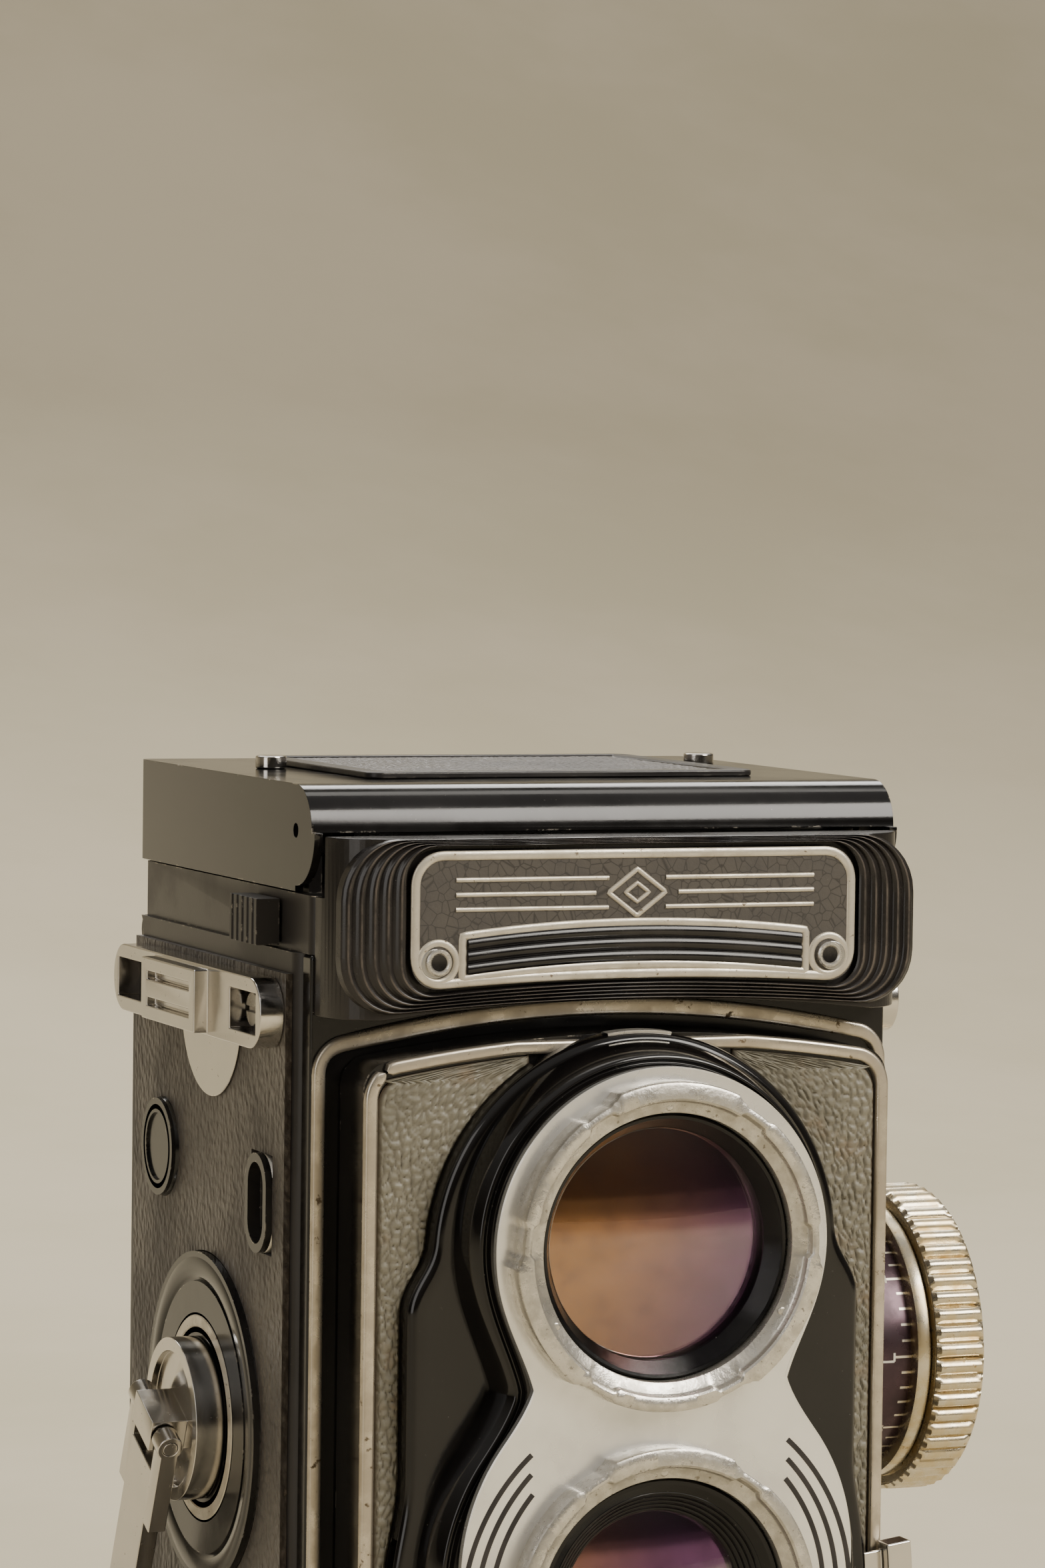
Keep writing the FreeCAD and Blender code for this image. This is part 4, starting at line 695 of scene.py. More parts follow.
def stud(x, y, z):
    """Low round head, a quarter-round edge and a flat top, that stands out along minus y."""
    radius, height, edge = 0.55, 0.22, 0.2
    t = np.linspace(0, np.pi / 2, 4)
    rim = points(radius - edge + edge * np.cos(t), -height + edge - edge * np.sin(t))
    profile = np.vstack(((radius, 0.0), rim, (0.0, -height)))
    return turned(profile + (0, y), (x, z), steps=20)


scuffed_nickel = finish("scuffed nickel", (0.66, 0.63, 0.57), 0.30, metal=0.85,
                        tone=((0.50, 0.47, 0.41), 2.2), spots=((0.30, 0.27, 0.22), 0.7, 0.62, 0.6),
                        grain=(0.55, 0.045), dust=0.2)
rings = []
for lens_z, seed in ((VIEWING, 0.4), (TAKING, 2.0)):
    rings.append(bayonet(lens_z, seed))
    for at in LUGS_AT:
        a = math.radians(at + 3)
        rings.append(stud(16.3 * math.cos(a), -48.6, lens_z + 16.3 * math.sin(a)))
piece("looks_bayonets", "front", rings, scuffed_nickel, "nickel", "lens_bayonets")

black_barrel = finish("black anodised barrel", (0.004, 0.0037, 0.004), 0.2,
                      tone=((0.007, 0.0065, 0.0065), 6.0), grain=(0.4, 0.005), dust=0.55)
step_t = np.linspace(0, 1, 41)
viewing_profile = np.vstack(([(15.3, -43.5), (15.3, -47.3), (15.05, -47.6), (14.7, -47.5)],
                             points(14.7 - 1.3 * step_t, -47.4 + 2.4 * step_t),
                             [(13.3, -43.5), (15.3, -43.5)]))
groove = 0.16 * np.abs(np.sin(step_t * 5 * np.pi)) ** 0.5
taking_profile = np.vstack(([(15.3, -43.5), (15.3, -47.3), (15.05, -47.6), (14.6, -47.55), (13.9, -47.1)],
                            points(13.6 - 2.6 * step_t, -46.9 + 2.3 * step_t - groove),
                            [(10.9, -43.5), (15.3, -43.5)]))
piece("looks_barrels", "front", [turned(viewing_profile, (0, VIEWING), steps=128),
                                 turned(taking_profile, (0, TAKING), steps=128)],
      black_barrel, "dark_metal", "lens_barrels", smooth=25.0)

# ---- coated glass ------------------------------------------------------------------------
# The front elements are clear domes; the blue-violet and amber coating shows as a tinted mirror
# on a second surface just behind.


def coated(name, amber, violet):
    """Dark mirror whose tint drifts from amber at one side to violet at the other, in soft clouds."""
    made, tree, inputs = new_material(name, Metallic=0.9)
    x, _, z = parts(tree)
    drift = ramp(tree, sums(tree, "ADD", x, sums(tree, "MULTIPLY", z, -0.25)), -0.034, -0.008)
    tint = blend(tree, drift, amber, violet)
    cloud = patches(tree, 5.0, 0.42, 0.3)
    tint = blend(tree, sums(tree, "MULTIPLY", cloud, 0.35), tint, tuple(c * 0.45 for c in violet))
    join(tree, tint, inputs["Base Color"])
    join(tree, ramp(tree, cloud, 0.0, 1.0, 0.06, 0.10), inputs["Roughness"])
    return made


clear, clear_tree, clear_inputs = new_material("clear glass", Transmission_Weight=1.0, IOR=1.52)
dirt = patches(clear_tree, 3.0, 0.45, 0.3)
join(clear_tree, ramp(clear_tree, dirt, 0.0, 1.0, 0.015, 0.06), clear_inputs["Roughness"])
join(clear_tree, blend(clear_tree, dirt, (1.0, 1.0, 1.0), (0.94, 0.93, 0.90)), clear_inputs["Base Color"])


def cap_profile(radius, rim_y, bulge, steps):
    """Profile of a lens cap: depth falls with the square of the radius from the middle to the rim."""
    r = radius * np.linspace(0, 1, steps)
    return points(r, rim_y - bulge * (1 - (r / radius) ** 2))


def dome(centre, radius, rim_y, bulge):
    """Lens cap, a sheet."""
    return turned(cap_profile(radius, rim_y, bulge, 30), centre)


def glass_cap(centre, radius, rim_y, bulge):
    """Solid meniscus: the cap in front, the same cap half a millimetre behind it, closed round the rim."""
    front = cap_profile(radius, rim_y, bulge, 26)
    return turned(np.vstack((front, front[::-1] + (0, 0.5))), centre)


piece("looks_front_glass", "front", [glass_cap((0, VIEWING), 13.4, -45.1, 1.7),
                                     glass_cap((0, TAKING), 11.3, -44.6, 1.5)], clear, "glass", smooth=50.0)
coating = coated("coated element", (0.36, 0.19, 0.09), (0.12, 0.05, 0.13))
piece("looks_coated_glass", "front",
      [dome((0, VIEWING), 13.35, -44.2, 0.9), dome((0, TAKING), 11.2, -43.7, 0.8)],
      coating, "glass", "lens_elements", smooth=50.0, away=to_front)

# ---- peep window -------------------------------------------------------------------------
# A narrow window let into the top of the surround, over the viewing lens: it shows the exposure
# settings to an eye above. A bright grooved frame holds it.
peep_turn = np.radians(np.linspace(99.0, 81.0, 40))
peep_path = points(25.45 * np.cos(peep_turn), VIEWING - 1.6 + 25.45 * np.sin(peep_turn))
peep_depth = np.linspace(-39.2, -37.2, 33)
peep_crest = 0.12 + 0.10 * np.abs(np.sin(np.linspace(0, 5 * np.pi, 33))) ** 0.5
peep_section = np.vstack(([(-0.1, -39.2)], points(peep_crest, peep_depth), [(-0.1, -37.2), (-0.1, -39.2)]))
piece("looks_peep_window", "front", [carried(peep_path, peep_section, False)], scuffed_nickel, "nickel")

# ---- nameplate housing -------------------------------------------------------------------
# Die-cast hood front in black enamel: five steps run round the plate like the folds of a fan, each
# with a painted highlight, a lighter metallic strip, along its crest. The plate has a crackled grey field, ivory
# lines and an arched insert.
HOUSING_HALF, PANEL_HALF = 36.2, 28.5


def sagged(path, sag, half):
    """Bends a path's lower part up in the middle: below z 123, z grows by sag x (1 - (x / half) squared)."""
    x, z = path[:, 0], path[:, 1]
    share = np.clip((123 - z) / 8.0, 0, 1)
    return points(x, z + sag * share * (1 - (x / half) ** 2))


def rounded_box(half, low, high, corner, step=0.4):
    """Closed path, clockwise from the top middle: a rectangle with turned corners."""
    corners = [(half, high), (half, low), (-half, low), (-half, high)]
    return even(np.vstack(([(0, high)], cornered(corners, corner, (0, high), (0, high)))), step)


def terrace(share):
    """Depth of the fan of folds: it falls from the plate to the rim in five rounded steps."""
    fold = share * 5
    step = (np.floor(fold) + np.clip((fold % 1 - 0.72) / 0.28, 0, 1) ** 1.5) / 5
    bulge = np.sin(np.pi * np.clip(fold % 1 / 0.78, 0, 1)) ** 0.8 * (share < 0.999)
    return -37.75 + 0.95 * step - 0.34 * bulge


outer_loop = sagged(even(rounded_box(HOUSING_HALF, 112.6, 133.3, 7.0), 0.1), 1.8, HOUSING_HALF)
inner_loop = sagged(even(rounded_box(PANEL_HALF, 115.2, 132.5, 4.0), 0.1), 1.4, PANEL_HALF)
rim_line, plate_line = even(outer_loop, count=520), even(inner_loop, count=520)
width_here = np.linalg.norm(rim_line - plate_line, axis=1)[:, None]


def folded(shares, lift=0.0):
    """Closed sheet of the fan between two shares of the way from the plate to the rim, raised by lift."""
    flat = plate_line[:, None] + (rim_line - plate_line)[:, None] * shares[:, None]
    depth = -36.8 + (terrace(shares) + 36.8) * np.clip(width_here / 3.0, 0.3, 1) - lift
    depth[:, -1] += 1.2 * (shares[-1] > 0.999)
    grid = points(flat[..., 0], depth, flat[..., 1])
    return np.concatenate((grid, grid[:1]))


housing_enamel = finish("housing enamel", (0.011, 0.0095, 0.009), 0.26, coat=0.1,
                        tone=((0.020, 0.017, 0.015), 12.0), grain=(0.35, 0.006), dust=0.25)
# Lighter metallic strips laid on the crests of the folds: a painted highlight.
crest_highlight = finish("painted crest highlights", (0.13, 0.11, 0.095), 0.34, metal=0.5, tone=((0.03, 0.026, 0.023), 5.0),
                     grain=(0.3, 0.01))
dressed("nameplate_housing", 0.5, housing_enamel)
piece("looks_fan_folds", "body", [folded(np.linspace(0, 1, 66))], housing_enamel, "housing", smooth=28.0,
      away=to_front)
# Painted highlight: a thin lighter strip on the crest of each fold.
piece("looks_fan_crests", "body", [folded((k + np.linspace(0.34, 0.50, 4)) / 5, 0.015) for k in range(5)],
      crest_highlight, "housing", away=to_front)


def sheet_inside(loop, y):
    """Flat field inside a loop: rings shrink from the loop to a middle line 0.6 times as long."""
    core = points(loop[:, 0] * 0.6, 124.0)[:, None]
    grid = loop[:, None] + (core - loop[:, None]) * np.linspace(0, 1, 14)[:, None]
    out = points(grid[..., 0], y, grid[..., 1])
    return np.concatenate((out, out[:1]))


def crackle(tree, colour):
    """Fine cracks: dark where two cells of 1.3 mm meet."""
    gap = ramp(tree, cells(tree, 1.3, place(tree), "DISTANCE_TO_EDGE"), 0.0, 0.07, 1.0, 0.0)
    return blend(tree, sums(tree, "MULTIPLY", gap, 0.8), colour, (0.03, 0.027, 0.024))


plate_grey = finish("crackled plate", (0.085, 0.076, 0.066), 0.42, metal=0.1,
                    tone=((0.062, 0.055, 0.048), 6.0), grain=(0.35, 0.03), dust=0.3, paint=crackle)
ivory = finish("aged ivory metal", (0.62, 0.57, 0.47), 0.34, metal=0.55, tone=((0.50, 0.45, 0.36), 3.0),
               spots=((0.17, 0.13, 0.09), 1.0, 0.62, 0.6), grain=(0.2, 0.012), dust=0.2)
PLATE_Y = -37.82
field_loop = sagged(rounded_box(27.9, 115.8, 131.9, 3.6), 1.4, PANEL_HALF)
piece("looks_plate_field", "body", [sheet_inside(field_loop, PLATE_Y)], plate_grey, "housing",
      "nameplate_panel", away=to_front)


def ridge(width, height=0.22, foot=PLATE_Y + 0.1):
    """Low rounded ridge: half an ellipse over its foot."""
    t = np.linspace(0, np.pi, 9)
    loop = points(width / 2 * np.cos(t), foot - 0.1 - height * np.sin(t))
    return np.vstack(((width / 2, foot), loop, (-width / 2, foot), (width / 2, foot)))


def ribbon(path, width, height=0.22, closed=True):
    """Ridge carried along a path; an open one is closed at both ends."""
    grid = carried(path, ridge(width, height), closed)
    return grid if closed else end_closed(grid)


def bowed(x, z0):
    """Height of a line bowed up by 1.25 in the middle of the plate."""
    return z0 + 1.25 * (1 - (x / 21.2) ** 2)


def lozenge(wide, tall):
    """Closed diamond round the middle of the plate's upper half."""
    return even(np.array([(0, 126.9 + tall), (wide, 126.9), (0, 126.9 - tall), (-wide, 126.9)], float), 0.3)


frame_low, frame_high = 117.3, 122.2
SCREW_X, SCREW_Z = 24.6, 119.2
across = 21.6 * np.linspace(-1, 1, 81)
window_loop = np.vstack((points(across, bowed(across, frame_high)),
                         points(across[::-1], bowed(across[::-1], frame_low))))
turn = np.linspace(0, 2 * np.pi, 48, endpoint=False)
plate_lines = [ribbon(sagged(rounded_box(27.4, 116.4, 131.4, 3.4), 1.35, PANEL_HALF), 1.1),
               ribbon(even(window_loop, 0.4), 1.0), ribbon(lozenge(3.6, 2.7), 0.6),
               ribbon(lozenge(1.5, 1.1), 0.5)]
for side in (-1, 1):
    eye = points(side * SCREW_X + 2.25 * np.sin(turn), SCREW_Z + 2.25 * np.cos(turn))
    plate_lines.append(ribbon(eye, 0.85))
for z0 in (125.2, 126.9, 128.6):
    for side in (-1, 1):
        line_x = side * np.linspace(5.2 - 1.6 * abs(z0 - 126.9) / 1.7, 22.5, 40)
        plate_lines.append(ribbon(points(line_x, z0), 0.55, 0.2, closed=False))
piece("looks_plate_lines_ivory", "body", plate_lines, ivory, "bright_plate")

ribs_and_bore_shade_black = finish("moulded black ribs and bore shade", (0.006, 0.0055, 0.0055), 0.2, coat=0.15,
                   tone=((0.02, 0.018, 0.017), 8.0), grain=(0.4, 0.004), dust=0.4)
rib_x = np.linspace(-21.0, 21.0, 90)[:, None]
rib_share = np.linspace(0, 1, 61)
rib_y = PLATE_Y - 0.02 - 0.42 * np.abs(np.sin(np.pi * 3 * rib_share)) ** 0.6
rib_z = bowed(rib_x, frame_low + 0.3) + (frame_high - frame_low - 0.6) * rib_share
piece("looks_cell_ribs", "body", [points(rib_x, rib_y, rib_z)], ribs_and_bore_shade_black, "gloss_black",
      "ribbed_cell_cover", away=to_front)


def hollow_screw(x):
    """Tubular screw head: rounded rim, bore with a sloping floor."""
    profile = np.array([(1.55, PLATE_Y), (1.55, PLATE_Y - 0.5), (1.4, PLATE_Y - 0.68), (1.15, PLATE_Y - 0.68),
                        (0.95, PLATE_Y - 0.5), (0.85, PLATE_Y - 0.08), (0.0, PLATE_Y - 0.05)])
    return turned(profile, (x, SCREW_Z), steps=40)


piece("looks_plate_screws", "body", [hollow_screw(-SCREW_X), hollow_screw(SCREW_X)], scuffed_nickel, "nickel")
# Black discs sunk in the bores of the hollow screws: painted shade in the holes.
bore = np.array([(1.0, PLATE_Y - 0.3), (1.0, PLATE_Y - 0.5), (0.0, PLATE_Y - 0.42)])
bores = [turned(bore, (x, SCREW_Z), steps=32) for x in (-SCREW_X, SCREW_X)]
piece("looks_plate_screw_bores", "body", bores, ribs_and_bore_shade_black, "gloss_black", away=to_front)

# ---- focusing knob -----------------------------------------------------------------------
# Turned knob on the right: a milled grip with sixty rounded bars, a smooth bright band and a dark
# scale drum with engraved, filled divisions and metre figures.
KNOB_Y, KNOB_Z = -6.0, 68.1


def knurl(x0, x1, r, depth, count):
    """Milled cylinder: radius falls between bars by depth x a rounded pulse of the angle, and rounds over
    at both ends."""
    a = np.linspace(0, 2 * np.pi, 721)[:, None]
    share = np.linspace(0, 1, 15)
    over = np.minimum(share, 1 - share) * (x1 - x0) / 0.8
    bar = np.abs(np.sin(a * count / 2)) ** 0.55
    end = 0.55 * (1 - np.sqrt(np.clip(1 - (1 - np.clip(over, 0, 1)) ** 2, 0, 1)))
    radius = r - depth * (1 - bar) * np.clip(over * 2.2, 0.0, 1) - end
    return points(x0 + (x1 - x0) * share, KNOB_Y + radius * np.cos(a), KNOB_Z + radius * np.sin(a))


brass_nickel = finish("worn nickel on brass", (0.66, 0.60, 0.47), 0.27, metal=0.92,
                      tone=((0.62, 0.50, 0.30), 3.0), spots=((0.40, 0.27, 0.12), 0.8, 0.63, 0.4),
                      wear=((0.85, 0.80, 0.68), 0.25, 0.40, 0.22, 0.95), grain=(0.25, 0.008), dust=0.2)
knob_face = np.array([(18.55, 52.85), (17.6, 53.0), (17.2, 52.7), (16.9, 52.3), (9.0, 52.0), (8.6, 52.25),
                      (8.0, 52.3), (7.7, 52.0), (3.2, 51.9), (3.0, 51.4), (2.1, 51.3), (0.0, 51.3)])
knob_band = np.array([(15.6, 44.5), (16.6, 44.5), (17.2, 44.7), (17.4, 45.1), (17.4, 46.2), (17.1, 46.5),
                      (16.2, 46.6), (18.3, 46.6), (18.55, 46.75)])
piece("looks_focus_knob", "focus_drive", [knurl(46.6, 53.0, 19.05, 1.15, 54),
                                          turned(knob_band, (KNOB_Y, KNOB_Z), "x"),
                                          turned(knob_face, (KNOB_Y, KNOB_Z), "x")], brass_nickel, "nickel",
      "focus_knob", smooth=30.0)


def drum_marks(tree, colour):
    """Ticks every 7.2 degrees on the drum's outer third, each fifth one longer."""
    x, y, z = parts(tree)
    y, z = sums(tree, "SUBTRACT", y, KNOB_Y * MM), sums(tree, "SUBTRACT", z, KNOB_Z * MM)
    turn = sums(tree, "DIVIDE", sums(tree, "ARCTAN2", z, y), math.radians(7.2))
    line = ramp(tree, off_whole(tree, turn), 0.06, 0.09, 1.0, 0.0)
    is_long = ramp(tree, off_whole(tree, sums(tree, "DIVIDE", turn, 5.0)), 0.05, 0.06, 1.0, 0.0)
    reach = sums(tree, "SUBTRACT", 0.0433, sums(tree, "MULTIPLY", is_long, 0.001))
    inside = ramp(tree, sums(tree, "SUBTRACT", x, reach), 0.0, 0.00005)
    return blend(tree, sums(tree, "MULTIPLY", line, inside), colour, (0.72, 0.66, 0.55))


drum_metal = finish("dark anodised drum", (0.075, 0.045, 0.055), 0.28, metal=0.6,
                    tone=((0.05, 0.032, 0.038), 5.0), grain=(0.15, 0.004, 0.0, (1.0, 0.2, 0.2)), dust=0.3,
                    paint=drum_marks)
drum = np.array([(6.0, 38.5), (15.2, 38.5), (15.6, 38.9), (15.6, 44.5), (6.0, 44.5), (6.0, 38.5)])
piece("looks_scale_drum", "focus_drive", [turned(drum, (KNOB_Y, KNOB_Z), "x")], drum_metal, "scale_drum",
      "focus_scale_drum")
SEGMENTS = {"0": "abcdef", "1": "bc", "2": "abged", "3": "abgcd", "4": "fgbc", "5": "afgcd", "6": "afgedc",
            "7": "abc", "8": "abcdefg", "9": "abcdfg"}
STROKES = {"a": ((0, 1), (1, 1)), "b": ((1, 1), (1, 0.5)), "c": ((1, 0.5), (1, 0)), "d": ((0, 0), (1, 0)),
           "e": ((0, 0), (0, 0.5)), "f": ((0, 0.5), (0, 1)), "g": ((0, 0.5), (1, 0.5))}


def figure(digits, tall, stroke, onto):
    """Generic figures drawn with straight strokes; onto(u, v) carries the flat figure to its surface."""
    strips = []
    wide, pitch = tall * 0.55, tall * 0.85
    for place_of, digit in enumerate(digits):
        left = (place_of - (len(digits) - 1) / 2) * pitch - wide / 2
        for name in SEGMENTS[digit]:
            (u0, v0), (u1, v1) = STROKES[name]
            run = np.linspace(0, 1, 7)
            u = left + wide * (u0 + (u1 - u0) * run)
            v = tall * (v0 + (v1 - v0) * run - 0.5)
            across_u, across_v = (stroke / 2, 0.0) if u0 == u1 else (0.0, stroke / 2)
            strips.append(np.stack((onto(u - across_u, v - across_v), onto(u + across_u, v + across_v)), 1))
    return strips


def on_drum(angle):
    """Carries flat figures onto the drum at an angle; figures read along the axis."""
    def onto(u, v):
        a = angle + u / 15.62
        return points(41.3 + v, KNOB_Y + 15.62 * np.cos(a), KNOB_Z + 15.62 * np.sin(a))
    return onto


drum_figures = []
for number, digits in enumerate(("1", "2", "3", "4", "5", "7", "10", "15", "30", "60")):
    drum_figures += figure(digits, 1.9, 0.28, on_drum(math.radians(36 * number)))
pale_paint = finish("pale filling paint", (0.70, 0.66, 0.57), 0.5, tone=((0.6, 0.55, 0.45), 1.5),
                    grain=(0.2, 0.01))
piece("looks_drum_figures", "focus_drive", drum_figures, pale_paint, "bright_plate",
      away=lambda middle: middle - Vector((middle.x, KNOB_Y * MM, KNOB_Z * MM)))

# ---- crank side --------------------------------------------------------------------------
# Left side: a pressed disc with two nickel rings round the winding crank, a covered bearing, the
# frame counter's slot window in a chrome rim, and a film-spool bezel below.
side_enamel = finish("side plate enamel", (0.006, 0.0055, 0.0055), 0.2, coat=0.15,
                     tone=((0.022, 0.020, 0.018), 14.0), wear=(bare_metal, 0.3, 0.55, 0.35, 0.9),
                     grain=(0.5, 0.005), dust=0.35)
CRANK = (3.0, 61.0)
pressed_disc = np.array([(9.9, -38.2), (10.2, -38.9), (12.6, -38.9), (12.8, -38.75), (13.1, -38.6),
                         (16.6, -38.6), (16.9, -38.75), (17.2, -38.95), (19.2, -38.95), (19.8, -38.6),
                         (20.0, -38.1), (20.0, -37.2), (9.9, -37.2), (9.9, -38.2)])
bearing_cap = np.array([(0.0, -38.6), (4.2, -38.6), (4.6, -38.9), (5.2, -38.9), (5.9, -38.6), (6.2, -38.0),
                        (6.2, -37.2)])
spool_bezel = np.array([(0.0, -38.3), (2.0, -38.3), (2.2, -38.5), (4.9, -38.5), (5.3, -38.9), (7.0, -38.9),
                        (7.7, -38.5), (7.9, -37.9), (7.9, -37.2)])
piece("looks_left_plates", "body",
      [turned(pressed_disc, CRANK, "x", 128), turned(bearing_cap, (20.4, 91.8), "x", 64),
       turned(spool_bezel, (-9.0, 18.0), "x", 64)], side_enamel, "gloss_black")


def crank_ring(r, x):
    """Narrow raised ring about the crank's axis, its crest at x."""
    profile = np.array([(r - 0.75, x + 0.12), (r - 0.6, x), (r + 0.6, x), (r + 0.75, x + 0.12)])
    return turned(profile, CRANK, "x", 128)


piece("looks_crank_rings", "body", [crank_ring(15.3, -38.7), crank_ring(11.6, -39.0)], ivory, "nickel")


def slot_line(y, z, half, length):
    """Closed path of an upright slot: two half circles joined by straight sides, as (y, z)."""
    t = np.linspace(0, np.pi, 20)
    top = points(y - half * np.cos(t), z + length / 2 - half + half * np.sin(t))
    low = points(y + half * np.cos(t), z - length / 2 + half - half * np.sin(t))
    return even(np.vstack((top, low)), 0.3)


window_ring = carried(slot_line(-16.3, 89.5, 3.4, 11.2), ridge(1.15, 0.9, -37.1))
piece("looks_window_rim", "body", [window_ring[..., [1, 0, 2]]], scuffed_nickel, "chrome")

# ---- chromed fittings --------------------------------------------------------------------
# Strap lugs, crank, levers, studs and small screws: machined brass under polished chrome, dulled by
# wear, with fine brush lines on the flat faces.
chrome = finish("worn chrome", (0.62, 0.59, 0.55), 0.15, metal=1.0, tone=((0.60, 0.58, 0.54), 5.0),
                spots=((0.30, 0.27, 0.23), 0.9, 0.66, 0.5), wear=((0.86, 0.84, 0.80), 0.3, 0.42, 0.12, 1.0),
                grain=(0.12, 0.004, 0.0, (0.3, 1.0, 1.0)), dust=0.15)
satin_steel = finish("satin steel", (0.55, 0.54, 0.52), 0.32, metal=1.0, tone=((0.42, 0.41, 0.39), 7.0),
                     spots=((0.20, 0.17, 0.14), 0.8, 0.68, 0.6), grain=(0.12, 0.006, 0.0, (1.0, 1.0, 0.2)),
                     dust=0.15)
for node, width in (("strap_lugs", 0.45), ("crank_hub", 0.35), ("crank_arm", 0.45), ("crank_grip", 0.3),
                    ("speed_lever", 0.25), ("aperture_lever", 0.25), ("release_button", 0.25),
                    ("lid_fittings", 0.25)):
    dressed(node, width, chrome)
for node, width in (("pins_and_screws", 0.1), ("take_up_knob", 0.3), ("supply_knob", 0.3), ("lock_ring", 0.3),
                    ("tripod_bush", 0.2)):
    dressed(node, width, satin_steel)

# ---- leather of the body -----------------------------------------------------------------
# Fine-grained leather, brown-black with age, glued in panels on the sides, the back door and the lid's flap.
dark_leather = finish("dark body leather", (0.055, 0.043, 0.033), 0.42, tone=((0.040, 0.032, 0.026), 16.0),
                      spots=((0.12, 0.095, 0.07), 1.6, 0.66, 0.55), grain=(0.85, 0.16, 0.9, (1.0, 1.0, 0.75)),
                      dust=0.35, sheen=0.1)
back_leather = finish("back leather", (0.07, 0.058, 0.047), 0.45, tone=((0.05, 0.042, 0.036), 18.0),
                      grain=(1.0, 0.18, 0.9, (1.0, 1.0, 0.8)), dust=0.3, sheen=0.1)
flap_x = np.linspace(-22.3, 22.3, 220)[:, None]
flap_y = np.linspace(-13.3, 22.3, 176)
flap_edge = np.minimum(22.3 - np.abs(flap_x), np.minimum(flap_y + 13.3, 22.3 - flap_y))
flap_relief = 0.22 + 0.12 * pebbles(*np.broadcast_arrays(flap_x, flap_y), 0.9, 5)
flap_sheet = points(flap_x, flap_y, 139.3 + np.clip(flap_edge / 0.5, 0, 1) * flap_relief)
piece("looks_flap_leather", "lid", [flap_sheet], dark_leather, "side_leather", smooth=80.0,
      away=lambda middle: Vector((0, 0, 1)))

# ---- inner parts -------------------------------------------------------------------------
# Seen when the hood or the back is open: blackened sheet, machined steel and brass, the silvered
# mirror and the ruled ground-glass screen.
matt_black = finish("matt black lining", (0.016, 0.015, 0.015), 0.72, tone=((0.026, 0.024, 0.023), 12.0),
                    grain=(0.3, 0.012), dust=0.4)
inner_black = finish("hood sheet enamel", (0.022, 0.020, 0.020), 0.5, tone=((0.035, 0.031, 0.029), 15.0),
                     wear=(bare_metal, 0.2, 0.60, 0.4, 0.9), grain=(0.3, 0.008), dust=0.4)
machined_steel = finish("machined steel", (0.46, 0.45, 0.44), 0.30, metal=1.0, tone=((0.36, 0.35, 0.34), 4.0),
                        grain=(0.15, 0.008, 0.0, (0.25, 1.0, 1.0)), dust=0.1)
machined_brass = finish("machined brass", (0.62, 0.47, 0.22), 0.28, metal=1.0, tone=((0.48, 0.34, 0.15), 5.0),
                        spots=((0.22, 0.14, 0.07), 0.8, 0.66, 0.5),
                        grain=(0.15, 0.006, 0.0, (0.25, 1.0, 1.0)))
shutter_steel = finish("shutter blade steel", (0.12, 0.12, 0.125), 0.35, metal=0.9,
                       tone=((0.09, 0.09, 0.095), 5.0), grain=(0.2, 0.005, 0.0, (1.0, 1.0, 0.3)))
silvered = finish("silvered mirror", (0.86, 0.87, 0.88), 0.03, metal=1.0, tone=((0.80, 0.81, 0.82), 20.0),
                  spots=((0.55, 0.53, 0.50), 0.7, 0.74, 0.3))


def ruled(tree, colour):
    """Red focusing lines every 9 mm both ways."""
    lines = [ramp(tree, off_whole(tree, sums(tree, "DIVIDE", along, 0.009)), 0.008, 0.016, 1.0, 0.0)
             for along in parts(tree)[:2]]
    return blend(tree, sums(tree, "MAXIMUM", *lines), colour, (0.35, 0.04, 0.03))


ground_glass = finish("ground glass screen", (0.62, 0.64, 0.63), 0.55, tone=((0.55, 0.57, 0.56), 10.0),
                      grain=(0.12, 0.01), dust=0.3, paint=ruled)


def dial_figures(tree, colour):
    """Pale division marks round the counter dial, one every 15 degrees."""
    _, y, z = parts(tree)
    y, z = sums(tree, "ADD", y, 0.0025), sums(tree, "SUBTRACT", z, 0.08374)
    turn = sums(tree, "DIVIDE", sums(tree, "ARCTAN2", z, y), math.radians(15))
    return blend(tree, ramp(tree, off_whole(tree, turn), 0.05, 0.08, 1.0, 0.0), colour, (0.72, 0.68, 0.6))


dial_black = finish("counter dial", (0.02, 0.019, 0.019), 0.35, tone=((0.03, 0.028, 0.027), 3.0),
                    grain=(0.2, 0.006), paint=dial_figures)
for material, nodes in (
        (dark_leather, ("side_leather",)), (back_leather, ("door_leather",)),
        (matt_black, ("film_chamber", "shutter_housing", "pressure_plate")),
        (inner_black, ("left_hood_wall", "right_hood_wall", "rear_hood_wall", "magnifier_arm")),
        (machined_steel, ("focus_bearings", "focus_shaft", "crank_gears", "take_up_drive", "upper_roller",
                          "lower_roller", "lock_bolt")),
        (machined_brass, ("take_up_spool", "supply_spool")),
        (shutter_steel, ("shutter_blade_1", "shutter_blade_2", "shutter_blade_3")),
        (silvered, ("reflex_mirror",)), (ground_glass, ("focusing_screen",)), (dial_black, ("counter_dial",)),
        (clear, ("magnifier_lens",)), (side_enamel, ("side_plates",))):
    for node in nodes:
        skin = frame["nodes"][node].data
        skin.materials.clear()
        skin.materials.append(material)

# ---- studio ------------------------------------------------------------------------------
# A warm pale floor that runs up into the backdrop, one large soft lamp at the right front, a
# weaker one at the left, and a narrow one from above and behind for the edges.


def lamp(name, at, aim, size, power, tint):
    """Rectangular area lamp at a place (m), turned to face the aim."""
    data = bpy.data.lights.new(name, "AREA")
    data.shape, data.size, data.size_y = "RECTANGLE", size[0], size[1]
    data.energy, data.color = power, tint
    made = bpy.data.objects.new(name, data)
    bpy.context.scene.collection.objects.link(made)
    made.location = at
    away = Vector(at) - Vector(aim)
    made.rotation_euler = away.to_track_quat("Z", "Y").to_euler()
    return made


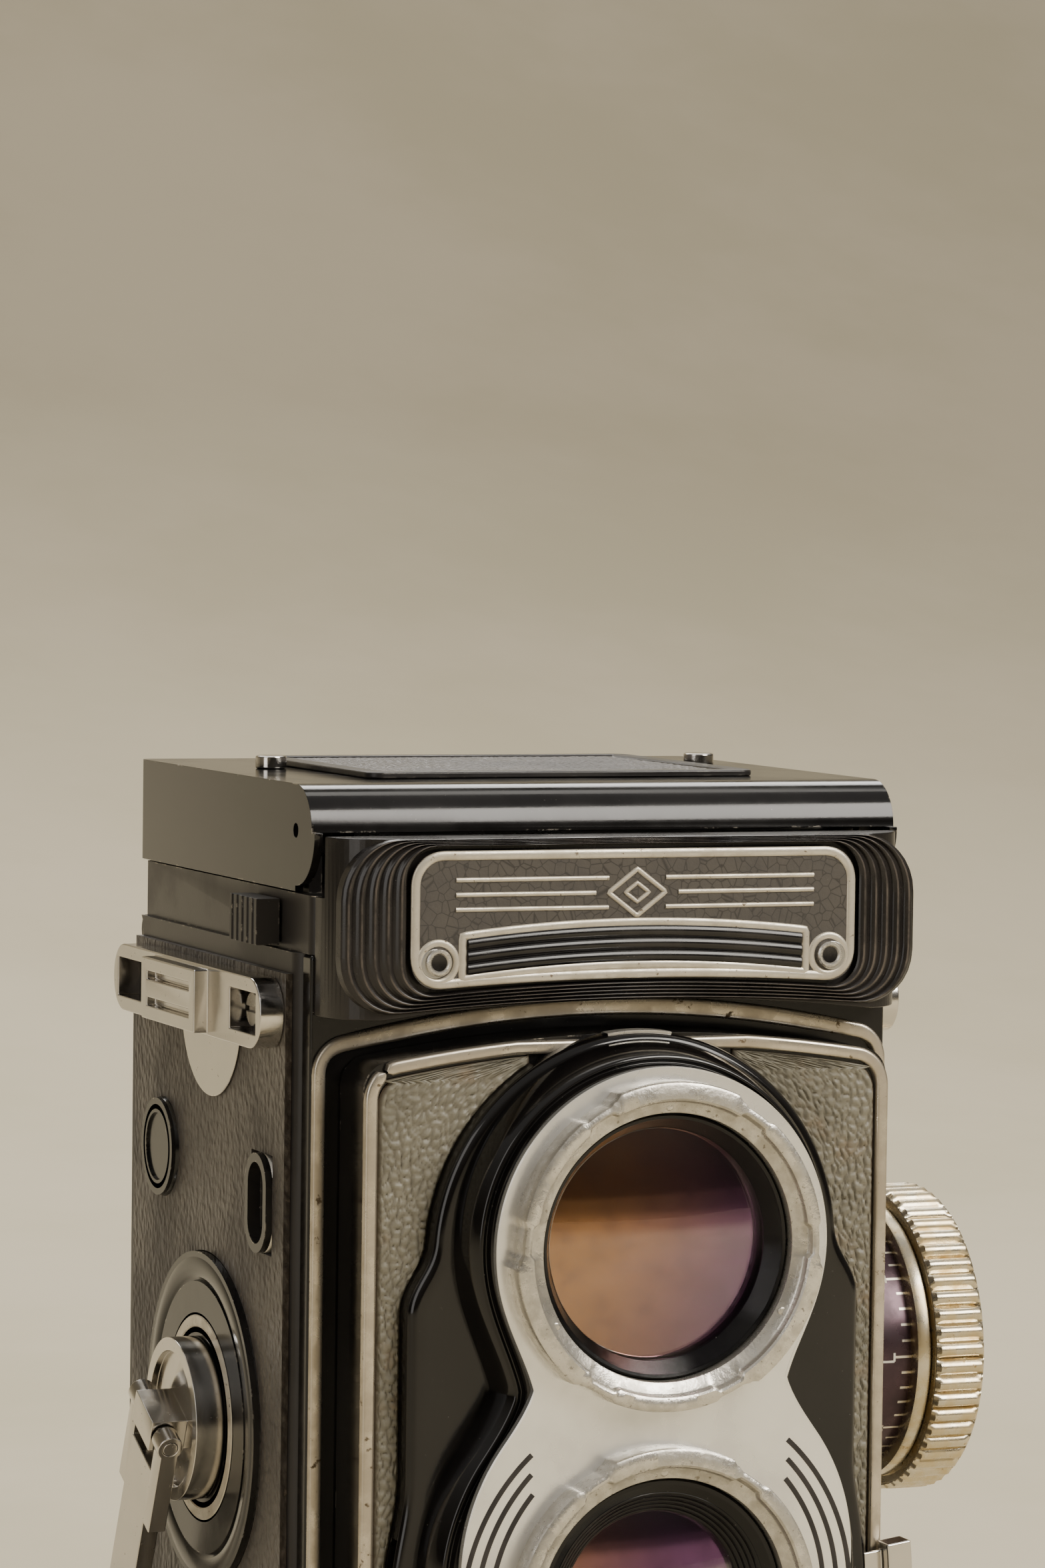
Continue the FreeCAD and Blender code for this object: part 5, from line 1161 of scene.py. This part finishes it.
backdrop_paper = finish("warm backdrop", (0.62, 0.55, 0.41), 0.85, tone=((0.56, 0.50, 0.36), 260.0),
                        grain=(2.0, 0.02))
t = np.linspace(0, np.pi / 2, 17)
sweep = np.vstack(([(-3000, 0.0)], points(500 + 1800 * np.sin(t), 1800 - 1800 * np.cos(t)), [(2300, 5200.0)]))
sheet = points(np.linspace(-3000, 3000, 25)[:, None], sweep[:, 0], sweep[:, 1] + cad_box[0][2] * 1000)
backdrop = grid_mesh("looks_backdrop", [sheet], backdrop_paper, 60.0)

world = bpy.data.worlds.new("studio")
bpy.context.scene.world = world
world.use_nodes = True
sky = world.node_tree
direction = sky.nodes.new("ShaderNodeSeparateXYZ")
join(sky, sky.nodes.new("ShaderNodeTexCoord").outputs["Generated"], direction.inputs[0])
height = ramp(sky, direction.outputs[2], -0.15, 0.9)
join(sky, blend(sky, height, (0.50, 0.43, 0.32), (1.0, 0.97, 0.92)), sky.nodes["Background"].inputs["Color"])
join(sky, ramp(sky, height, 0.0, 1.0, 0.05, 0.45), sky.nodes["Background"].inputs["Strength"])
centre = (0.0, 0.0, 0.07)
for lamp_values in (("key", (0.55, -0.75, 0.75), centre, (0.6, 0.6), 15.0, (1.0, 0.95, 0.87)),
                    ("fill", (-0.95, -0.55, 0.45), centre, (0.5, 0.9), 3.2, (1.0, 0.96, 0.92)),
                    ("edge", (0.15, 0.75, 0.85), centre, (0.9, 0.35), 8.0, (1.0, 0.98, 0.95)),
                    ("backdrop", (0.3, 0.6, 2.2), (0.5, 2.1, 0.6), (1.6, 1.0), 13.0, (1.0, 0.96, 0.88))):
    lamp(*lamp_values)

eye = bpy.data.cameras.new("camera")
eye.lens, eye.sensor_width, eye.clip_start, eye.clip_end = 118.37, 36.0, 0.05, 20.0
camera = bpy.data.objects.new("camera", eye)
bpy.context.scene.collection.objects.link(camera)
right, up = Vector((0.925934, -0.377446, 0.013473)), Vector((0.007293, 0.053531, 0.998539))
back = right.cross(up)
camera.matrix_world = Matrix.Translation(Vector((-0.23713, -0.58288, 0.17036))) @ Matrix(
    (right, up, back)).transposed().to_4x4()
bpy.context.scene.camera = camera
